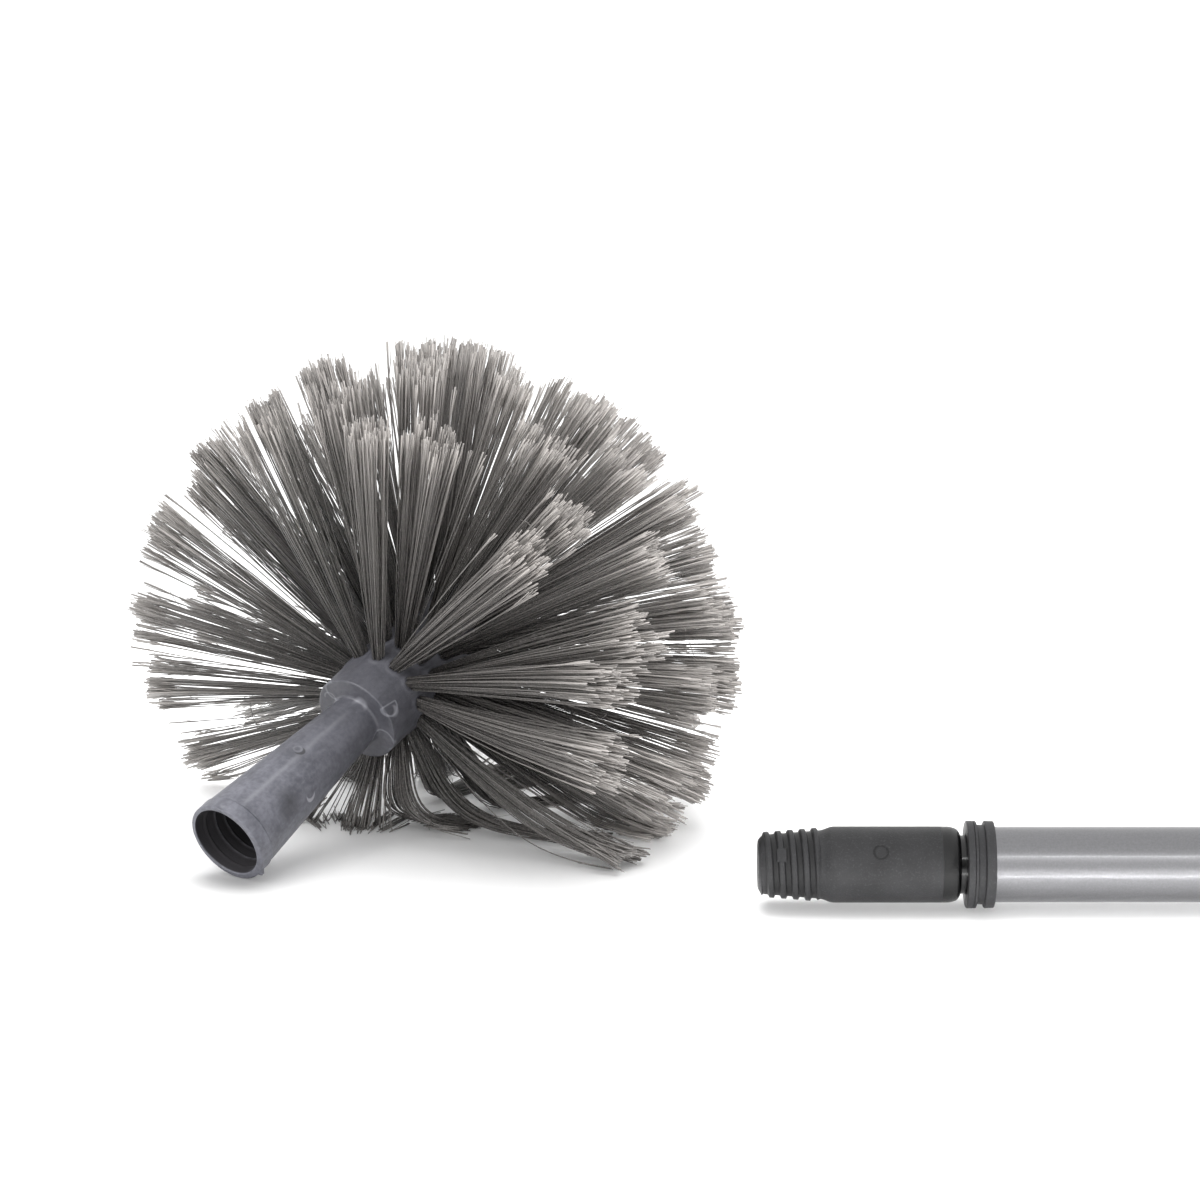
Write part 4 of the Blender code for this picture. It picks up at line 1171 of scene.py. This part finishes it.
def tuft_courses(root, heading, side, splay, extra, chance):
    """Starts, directions and lengths of the filaments of one tuft, in the head's frame."""
    clumps = sunflower(TUFT_CLUMPS, chance.uniform(0, 2 * math.pi))
    inner = sunflower(CLUMP_FILAMENTS, chance.uniform(0, 2 * math.pi)) * CLUMP_SPREAD_SHARE
    disc = (clumps[:, None] + inner[None]).reshape(-1, 2)
    count = len(disc)
    shaken = np.repeat(chance.normal(0, CLUMP_SHAKE, (TUFT_CLUMPS, 2)), CLUMP_FILAMENTS, 0)
    alone = chance.uniform(0, 1, count) < LONER_SHARE
    wide = np.where(alone, chance.uniform(*LONER_REACH, count), 1)
    shaken += chance.normal(0, FILAMENT_SHAKE, (count, 2))
    tips = (disc + shaken) * wide[:, None] * np.array(splay)
    across = unit(side - heading * side.dot(heading))
    upward = np.cross(heading, across)
    start = (disc[:, :1] * across + disc[:, 1:] * upward) * ROOT_SPREAD
    start = root - heading * FILAMENT_SINK + start
    aim = root + heading * TUFT_LENGTH
    aim = aim + tips[:, :1] * across * TIP_SPREAD_ACROSS + tips[:, 1:] * upward * TIP_SPREAD_ALONG
    course = unit(aim - start)
    away = start - np.array([0, 0, BALL_CENTRE])
    along = (away * course).sum(1)
    reach = -along + np.sqrt(along ** 2 - (away ** 2).sum(1) + BALL_RADIUS ** 2)
    reach += np.repeat(chance.normal(*CLUMP_CUT, TUFT_CLUMPS), CLUMP_FILAMENTS)
    reach += chance.normal(0, FILAMENT_CUT, count) + extra
    return start, course, reach


print("filaments in a tuft:", TUFT_CLUMPS * CLUMP_FILAMENTS)

# %% [markdown]
# ## Bending on the floor
#
# The lowest bristles can't pass through the table. A real filament is a springy rod: it comes
# down, bends over above the table and then lies on it, towards the side that it already leant
# to. Each such path is walked in short steps, and below a bend height its direction turns to that
# side, each filament a little apart. Free filaments are straight, with a slight bow and sag.

# %% Filament paths
PRESS_LIMIT = 3 * MM
LAY_SPREAD = 1.6
LYING_HEIGHT = 0.35 * MM
FREE_SHARES = np.array([0, 0.28, 0.55, 0.78, 0.88, 1])
PRESSED_STEPS = 24
BEND_POWER = 1.5
SAG = 2.5 * MM
BOW = 0.8 * MM
HEAD_MATRIX = np.array(HEAD_PLACE)
LEVEL = np.array([1, 1, 0])  # takes the height out of a direction


def to_world(points, direction=False):
    """Points or directions of the head's frame in the world."""
    moved = points @ HEAD_MATRIX[:3, :3].T
    return moved if direction else moved + HEAD_MATRIX[:3, 3]


def above_floor(paths):
    """Lift all points that fell under the height at which a filament lies on the table."""
    paths[..., 2] = np.maximum(paths[..., 2], FLOOR + LYING_HEIGHT)
    return paths


def bowed(bow, share):
    """How far a filament's own curve takes it aside, at shares of its length."""
    return bow[:, None] * (np.sin(math.pi * share) + share ** 2)[..., None]


def free_paths(start, course, reach, bow, droop):
    """Points of filaments that meet nothing, and their shares of the length."""
    share = np.tile(FREE_SHARES, (len(start), 1))
    path = start[:, None] + course[:, None] * (reach[:, None] * share)[..., None]
    path += bowed(bow, share)
    level = np.sqrt(1 - course[:, 2] ** 2)
    path[:, :, 2] -= (SAG * share ** 2 + droop * np.sin(math.pi * share)) * level[:, None]
    return path, share


def pressed_paths(start, course, reach, bow, lay, bend, droop):
    """Points of filaments that turn over below a bend height, towards the level direction lay."""
    lay = unit(lay + LAY_SPREAD * (course - course.mean(0)) * LEVEL)
    point = start.copy()
    made = [point]
    weight = np.zeros(len(start))
    lands = start[:, 2] + course[:, 2] * reach < FLOOR + PRESS_LIMIT
    for _ in range(PRESSED_STEPS):
        near = np.clip(1 - (point[:, 2] - FLOOR) / bend, 0, 1) ** BEND_POWER * lands
        weight = np.maximum(weight, near)
        heading = unit(course * (1 - weight)[:, None] + lay * weight[:, None])
        point = point + heading * (reach / PRESSED_STEPS)[:, None]
        made.append(point)
    share = np.tile(np.linspace(0, 1, PRESSED_STEPS + 1), (len(start), 1))
    path = np.stack(made, 1) + bowed(bow, share)
    path[:, :, 2] -= droop * np.sin(math.pi * share)
    return above_floor(path), share


def filament_paths(start, course, reach, lay, bend, droop, chance):
    """Paths of a tuft's filaments, which are pressed if one of them would reach the table."""
    bow = chance.normal(0, BOW, (len(start), 3))
    bow -= (bow * course).sum(1)[:, None] * course
    if (start[:, 2] + course[:, 2] * reach < FLOOR + PRESS_LIMIT).any():
        return pressed_paths(start, course, reach, bow, lay, bend, droop)
    return free_paths(start, course, reach, bow, droop)


print("steps of a pressed filament:", PRESSED_STEPS)

# %% [markdown]
# ## From paths to a mesh
#
# Thousands of tubes are built at once with arrays: three points round each path point, three
# four-sided faces per step and a small cap. Each tube carries two numbers on its points that the
# material reads: how far along the filament a point lies, and a random shade of the filament.

# %% Tubes from paths
TUBE_SIDES = 3
OFF_AXIS = np.array([0.31, 0.83, 0.47])  # a direction that no filament follows


def tube_arrays(paths, radii, shade, along, first):
    """Points, faces and two attributes of three-sided tubes along equal-length paths."""
    count, steps, _ = paths.shape
    tangent = unit(np.gradient(paths, axis=1))
    side = unit(np.cross(tangent, OFF_AXIS))
    upward = np.cross(tangent, side)
    ring = []
    for corner in range(TUBE_SIDES):
        turn = corner * 2 * math.pi / TUBE_SIDES
        ring.append(paths + (side * math.cos(turn) + upward * math.sin(turn)) * radii[..., None])
    points = np.stack(ring, 2).reshape(-1, 3)
    base = (np.arange(count) * steps * TUBE_SIDES)[:, None] + first
    faces = []
    for low in range(0, (steps - 1) * TUBE_SIDES, TUBE_SIDES):
        for corner in range(TUBE_SIDES):
            near, far = base + low + corner, base + low + (corner + 1) % TUBE_SIDES
            faces.append(np.concatenate([near, far, far + TUBE_SIDES, near + TUBE_SIDES], 1))
    last = base + (steps - 1) * TUBE_SIDES
    caps = np.concatenate([last + corner for corner in range(TUBE_SIDES)], 1)
    shades = np.repeat(shade, steps * TUBE_SIDES)
    return points, np.concatenate(faces), caps, shades, np.repeat(along.reshape(-1), TUBE_SIDES)


def bristle_piece(name, groups, material):
    """One mesh from several groups of (paths, radii, shade, along)."""
    heaps = []
    first = 0
    for group in groups:
        heaps.append(tube_arrays(*group, first))
        first += len(heaps[-1][0])
    points, quads, caps, shades, places = [np.concatenate(heap) for heap in zip(*heaps)]
    piece = mesh_object(name, points.tolist(), quads.tolist() + caps.tolist(), material)
    store(piece, "shade", shades)
    store(piece, "along", places)
    return piece


# %% [markdown]
# ## Flagged tips and strays
#
# Trimmed bristles are split at their ends, which makes dusters soft: the last centimetre or so of
# a filament puffs up into a few finer hairs. So each filament swells towards its blunt end, and
# two finer hairs part from it there. Two thin curled strays per tuft break up the order.

# %% Split ends and strays
FLAG_LENGTH = 13 * MM
FLAG_HAIRS = 2
HAIR_PARTING = 0.06
HAIR_LENGTHS = (0.8, 1.12)
HAIR_WAVE = 0.2 * MM
STRAYS = 2
STRAY_STEPS = 9
STRAY_LENGTHS = (0.5, 0.95)
STRAY_LEAN = 0.12
STRAY_CURL = 0.07
STRAY_WANDER = 0.05


def flags(paths, chance):
    """Two fine hairs that part from the end of each filament."""
    end = paths[:, -1]
    heading = unit(end - paths[:, -2])
    start = end - heading * FLAG_LENGTH
    made = []
    for _ in range(FLAG_HAIRS):
        course = unit(heading + chance.normal(0, HAIR_PARTING, (len(paths), 3)))
        length = FLAG_LENGTH * chance.uniform(*HAIR_LENGTHS, len(paths))[:, None]
        stop = start + course * length
        middle = (start + stop) / 2 + chance.normal(0, HAIR_WAVE, (len(paths), 3))
        made.append(above_floor(np.stack([start, middle, stop], 1)))
    return np.concatenate(made)


def strays(paths, chance):
    """A few thin hairs that leave the tuft in a loose curl."""
    chosen = chance.choice(len(paths), STRAYS, replace=False)
    middle = paths.shape[1] // 2
    made = []
    for path in paths[chosen]:
        point = path[middle]
        heading = path[-1] - point
        length = np.linalg.norm(heading) * chance.uniform(*STRAY_LENGTHS)
        heading = unit(heading) + chance.normal(0, STRAY_LEAN, 3)
        curl = chance.normal(0, STRAY_CURL, 3)
        line = [point]
        for _ in range(STRAY_STEPS):
            curl = curl + chance.normal(0, STRAY_WANDER, 3)
            heading = unit(heading + curl)
            point = point + heading * length / STRAY_STEPS
            line.append(point)
        made.append(line)
    return above_floor(np.array(made))


print("fine hairs in a tuft:", FLAG_HAIRS * TUFT_CLUMPS * CLUMP_FILAMENTS + STRAYS)

# %% [markdown]
# ## Bristle material
#
# The plastic of the filaments is a warm grey and slightly glossy. Near the hub it looks almost
# black, because light hardly gets in between them, so the ramp paints that in: painted shade
# towards the root. The split ends scatter light and turn pale. The ramp follows the stored place
# along the filament, and the stored shade makes neighbours differ.

# %% Bristle material
# Tones along a filament: dark at the root, which is painted shade between the filaments.
TONES = ((0.0, 0.075), (0.3, 0.155), (0.62, 0.23), (0.79, 0.285), (0.87, 0.42), (1.0, 0.52))


def warm_grey(level):
    return (level, level * 0.94, level * 0.895)


def bristle_material():
    made, tree, shader, place = start_material("bristle", 0.36)
    colour = ramp(tree, stored(tree, "along"), [(at, warm_grey(level)) for at, level in TONES])
    darker = mix(tree, 1.0, colour, (0.4, 0.4, 0.4), "MULTIPLY")
    colour = mix(tree, stored(tree, "shade"), darker, colour)
    mottles = noise(tree, place, 1500, 2.0)
    colour = mix(tree, spread(tree, mottles, 0.45, 0.75, 0.0, 0.3), colour, warm_grey(0.5))
    feed(tree, shader, colour, spread(tree, mottles, 0.3, 0.7, 0.3, 0.44))
    return made


BRISTLE = bristle_material()
print("tones along a filament:", len(TONES))

# %% [markdown]
# ## One tuft
#
# A tuft is the sum of three groups of tubes: the filaments, which swell at their pale ends, the
# fine hairs there, and the strays. The lowest tufts lie on the table. For them a bend height, an
# extra length and a level direction are given, in which the tuft is pressed, and a lower pallor
# that paints them darker: painted shade.

# %% Tuft
FILAMENT_RADIUS = 0.24 * MM
HAIR_RADIUS = 0.17 * MM
STRAY_RADIUS = 0.11 * MM
FLARE_SHARE = 0.55
FLARE_SPAN = (0.8, 0.9)
HAIR_PLACES = (0.84, 0.93, 1.0)
STRAY_PLACE = 0.84
HAIR_SHADES = (0.2, 1)
CLUMP_SHADE = 0.25


def thin_hairs(paths, radius, places, shaded_pallor, chance):
    """One group of hairs of an even radius, with their places along for the material."""
    place = np.broadcast_to(np.array(places), paths.shape[:2])
    shade = chance.uniform(*HAIR_SHADES, len(paths))
    return paths, np.full(place.shape, radius), shade, place * shaded_pallor


def tuft_group(
    root, angle, lean, sway, chance, splay=(1.0, 1.0),
    bend=11, extra=0, droop=0, compass=None, shaded_pallor=1.0,
):
    """The groups of tubes of one tuft. A pallor under 1 paints shade: darker filaments, less pale
    ends.
    """
    heading, side = tuft_heading(angle, lean, sway)
    lay = to_world(heading, True) * LEVEL
    if compass is not None:
        lay = np.array([math.cos(math.radians(compass)), math.sin(math.radians(compass)), 0])
    start, course, reach = tuft_courses(root, heading, side, splay, extra * MM, chance)
    start, course = to_world(start), to_world(course, True)
    bend, droop = bend * MM, droop * MM
    paths, share = filament_paths(start, course, reach, unit(lay), bend, droop, chance)
    radii = FILAMENT_RADIUS * (1 + FLARE_SHARE * ease(share, *FLARE_SPAN))
    clump_shade = chance.uniform(-CLUMP_SHADE, CLUMP_SHADE, TUFT_CLUMPS)
    clump_shade = np.repeat(clump_shade, CLUMP_FILAMENTS)
    shade = np.clip(chance.uniform(0, 1, len(paths)) + clump_shade, 0, 1)
    ends = thin_hairs(flags(paths, chance), HAIR_RADIUS, HAIR_PLACES, shaded_pallor, chance)
    loose = thin_hairs(strays(paths, chance), STRAY_RADIUS, STRAY_PLACE, shaded_pallor, chance)
    return [(paths, radii, shade, share * shaded_pallor), ends, loose]


print("filament radius, mm:", FILAMENT_RADIUS / MM)

# %% [markdown]
# ## Planting the tufts
#
# The five rows and the nose are planted alike. Tufts never stand quite as the drill left them:
# each leans and sways by a few degrees. In the front row, which the camera sees best, those
# angles are chosen from the photograph, and the rest are seeded chance. Behind it only the
# tufts that carry the ball's weight are drawn together, and one leans aside, because the
# photograph shows the white table between the tufts there.

# %% Plant the tufts
BRISTLE_SEED = 502
ROW_LEANS = (3, 9, 17, 27, 38)
LEAN_CHANCE = 4
SWAY_CHANCE = 7
SPLAY_CHANCE = (0.6, 1.1)
NOSE_LEAN_CHANCE = 3
NOSE_SWAY_CHANCE = 5
# Lean and sway in degrees, and splay across and along. The lowest tufts also have the bend
# height, extra length and droop in millimetres, the level direction in degrees from the pole's
# axis, and how pale the ends are: under 1, painted shade for the tufts in shadow on the table.
FRONT_TUFTS = (
    (-35, -6, (1.5, 0.8), 20, -25, 0, 20, 0.55),
    (-44, -10, (3.8, 1.1), 3, -28, 0, 92, 0.45),
    (-10, 20, (0.9, 0.9)),
    (-10, 12, (1.0, 0.9)),
    (-9, 0, (1.0, 1.0)),
    (-6, -4, (1.15, 1.0)),
    (8, 0, (0.9, 0.9)),
    (8, 0, (0.8, 0.9)),
    (6, 15, (0.9, 0.9)),
    (4, 16, (0.8, 0.8)),
    (-3, 0, (1.0, 1.0), 11, 0, 2, None),
    (-7, -4, (0.75, 0.8), 20, 10, 3, -21, 0.7),
    (-15, 2, (0.55, 0.6), 26, 2, 0, -8, 0.6),
)
LOADED_TUFTS = [12, 0]
LOADED_SPLAY_SHARE = 0.6
SWAY_SHIFTS = {(1, 5): -10}


def tuft_root(angle, radius, along):
    return np.array([radius * math.cos(angle), radius * math.sin(angle), along])


def plant_row(row):
    chance = np.random.default_rng(BRISTLE_SEED + row)
    leans = ROW_LEANS[row] + chance.uniform(-LEAN_CHANCE, LEAN_CHANCE, ROW_TUFTS)
    sways = chance.uniform(-SWAY_CHANCE, SWAY_CHANCE, ROW_TUFTS)
    splays = chance.uniform(*SPLAY_CHANCE, (ROW_TUFTS, 2))
    splays[LOADED_TUFTS] *= LOADED_SPLAY_SHARE
    groups = []
    for tuft in range(ROW_TUFTS):
        angle, along = row_place(row, tuft)
        sway = sways[tuft] + SWAY_SHIFTS.get((row, tuft), 0)
        lean, sway, *rest = FRONT_TUFTS[tuft] if row == 0 else (leans[tuft], sway, splays[tuft])
        root = tuft_root(angle, HUB_RADIUS, along)
        groups += tuft_group(root, angle, lean, sway, chance, *rest)
    return bristle_piece(f"bristles_row_{row + 1}", groups, BRISTLE)


def plant_nose():
    chance = np.random.default_rng(BRISTLE_SEED + ROW_COUNT)
    groups = []
    for count, lean, share in zip(NOSE_COUNTS, NOSE_LEANS, NOSE_RADIUS_SHARES):
        top = NOSE_RIM + NOSE_HEIGHT * math.sqrt(1 - share * share)
        for tuft in range(count):
            angle = ROW_FIRST_ANGLE + 2 * math.pi * tuft / count
            root = tuft_root(angle, HUB_RADIUS * share, top)
            leant = lean + chance.uniform(-NOSE_LEAN_CHANCE, NOSE_LEAN_CHANCE)
            sway = chance.uniform(-NOSE_SWAY_CHANCE, NOSE_SWAY_CHANCE)
            groups += tuft_group(root, angle, leant, sway, chance)
    return bristle_piece("bristles_nose", groups, BRISTLE)


bristles = [plant_row(row) for row in range(ROW_COUNT)] + [plant_nose()]
stand_ins = [f"tuft_row_{row + 1}" for row in range(ROW_COUNT)] + ["tuft_nose"]
for piece, node in zip(bristles, stand_ins):
    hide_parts(node)
    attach(piece, "outer_pole")
    print(piece.name, "faces:", len(piece.data.polygons))

# %% [markdown]
# ## Table and light
#
# The photograph's table burns out to pure white, and only soft shadows in front of the pieces
# stay. A white world does a part of that, and lamps that reach the table alone do the rest. The
# widest one stands behind the object, so that the shadows fall towards the camera. The bristles,
# the head and the dark mouldings have lamps of their own, because each was set to the tone that
# it has in the photograph. Long strips of light beside the pole draw the two bright lines on its
# tubes.

# %% Table
TABLE_HALF = 12


def table_white():
    made, tree, shader, place = start_material("table_white", 0.6)
    faint = noise(tree, place, 3, 2.0)
    feed(tree, shader, ramp(tree, faint, [(0.3, (0.86, 0.86, 0.86)), (0.7, (0.88, 0.88, 0.88))]))
    shader.inputs["Specular IOR Level"].default_value = 0.2
    return made


signs = ((-1, -1), (1, -1), (1, 1), (-1, 1))
corners = [(x * TABLE_HALF, y * TABLE_HALF, FLOOR) for x, y in signs]
floor = mesh_object("table", corners, [(0, 1, 2, 3)], table_white(), False)
print("table height, mm:", FLOOR / MM)

# %% Lights
STRIP_MIDDLE = 0.3
STRIP_AWAY = 1.1
STRIP_LENGTH = 2.4
UPPER_LINE = 40.6  # degrees round the tube at which the bright lines stand
LOWER_LINE = -20.8


def add_world(strength, front_share):
    """A white world whose low part is dimmed to a share, except behind the object."""
    world = bpy.data.worlds.new("studio")
    world.use_nodes = True
    tree = world.node_tree
    place = add_node(tree, "ShaderNodeTexCoord").outputs["Generated"]
    aim = add_node(tree, "ShaderNodeSeparateXYZ", Vector=place)
    near = spread(tree, aim.outputs["Y"], -0.2, 0.6, 1.0, 0.0)
    low = spread(tree, aim.outputs["Z"], 0.3, 0.8, 1.0, 0.0)
    dim = calculate(tree, "MULTIPLY", near, low)
    background = tree.nodes["Background"]
    dimmed = spread(tree, dim, 0, 1, strength, strength * front_share)
    fill(tree, background.inputs["Strength"], dimmed)
    fill(tree, background.inputs["Color"], (1, 1, 1, 1))
    bpy.context.scene.world = world


def linked(name, pieces):
    """A collection of pieces for a light to reach or to be blocked by."""
    made = bpy.data.collections.new(name)
    for piece in pieces:
        made.objects.link(piece)
    return made


def add_area(name, place, target, width, height, power, pieces, blockers=None):
    """A lamp that reaches some pieces only, with shadows from the blockers alone if given."""
    light = bpy.data.lights.new(name, "AREA")
    light.shape = "RECTANGLE"
    light.size = width
    light.size_y = height
    light.energy = power
    made = add_object(name, light)
    made.location = place
    made.rotation_euler = (Vector(target) - Vector(place)).to_track_quat("-Z", "Y").to_euler()
    made.light_linking.receiver_collection = linked(f"{name}_lit", pieces)
    if blockers is not None:
        made.light_linking.blocker_collection = linked(f"{name}_shade", blockers)
    return made


def add_strip(name, elevation, height, power, pieces):
    """A light along the pole, seen from the pole at an elevation towards the camera."""
    angle = math.radians(elevation)
    place = (STRIP_MIDDLE, -STRIP_AWAY * math.cos(angle), STRIP_AWAY * math.sin(angle))
    target = (STRIP_MIDDLE, 0, 0)
    made = add_area(name, place, target, STRIP_LENGTH, height, power, pieces, pieces)
    made.rotation_euler = (math.pi / 2 - angle, 0, 0)


mouldings = (tip, collar, grip, cap)
tubes = (outer_tube, inner_tube)
table = (floor,)
ball = (-0.1, 0.1, 0.05)
add_world(1.0, 0.2)
# Each lamp: its place, its target, its width and height in metres, and its power in watts.
add_area("key", (0.6, -0.55, 0.95), ball, 0.7, 0.7, 14.5, bristles)
add_area("bristle_fill", (0.2, -2.1, 1.7), ball, 2, 1, 19, bristles)
add_area("left_key", (-1.0, -0.5, 0.5), (-0.15, 0.1, 0.05), 0.5, 0.5, 4, bristles)
add_area("head_key", (-0.7, -0.5, 0.9), (-0.15, 0.07, 0.03), 0.7, 0.7, 13.5, (head,))
add_area("fill", (0, -2.5, 0.7), (0, 0, 0), 3, 1.5, 18, (head, *mouldings))
add_strip("upper_strip", UPPER_LINE, 0.02, 3.0, tubes)
add_strip("lower_strip", LOWER_LINE, 0.02, 4.2, tubes)
add_strip("front_band", 10, 1.2, 8.5, (outer_tube,))
add_strip("upper_sheen", UPPER_LINE, 0.05, 1.0, mouldings)
add_strip("lower_sheen", LOWER_LINE, 0.05, 1.8, mouldings)
add_area("table_light", (-0.1, 0.52, 1.9), (-0.1, 0.1, 0), 1.6, 1.6, 37.5, table)
for name, x, y, above, width, depth, power in (
    ("pole_table_light", 0.5, 0, 0.3, 1.0, 0.1, 1.25),
    ("back_table_light", -0.1, 0.255, 0.018, 0.6, 0.28, 0.7),
    ("far_table_light", 0, 3.6, 1.2, 6, 3, 32),
):
    add_area(name, (x, y, above), (x, y, 0), width, depth, power, table, table)
bpy.context.scene.view_settings.view_transform = "Standard"
bpy.context.scene.view_settings.look = "None"
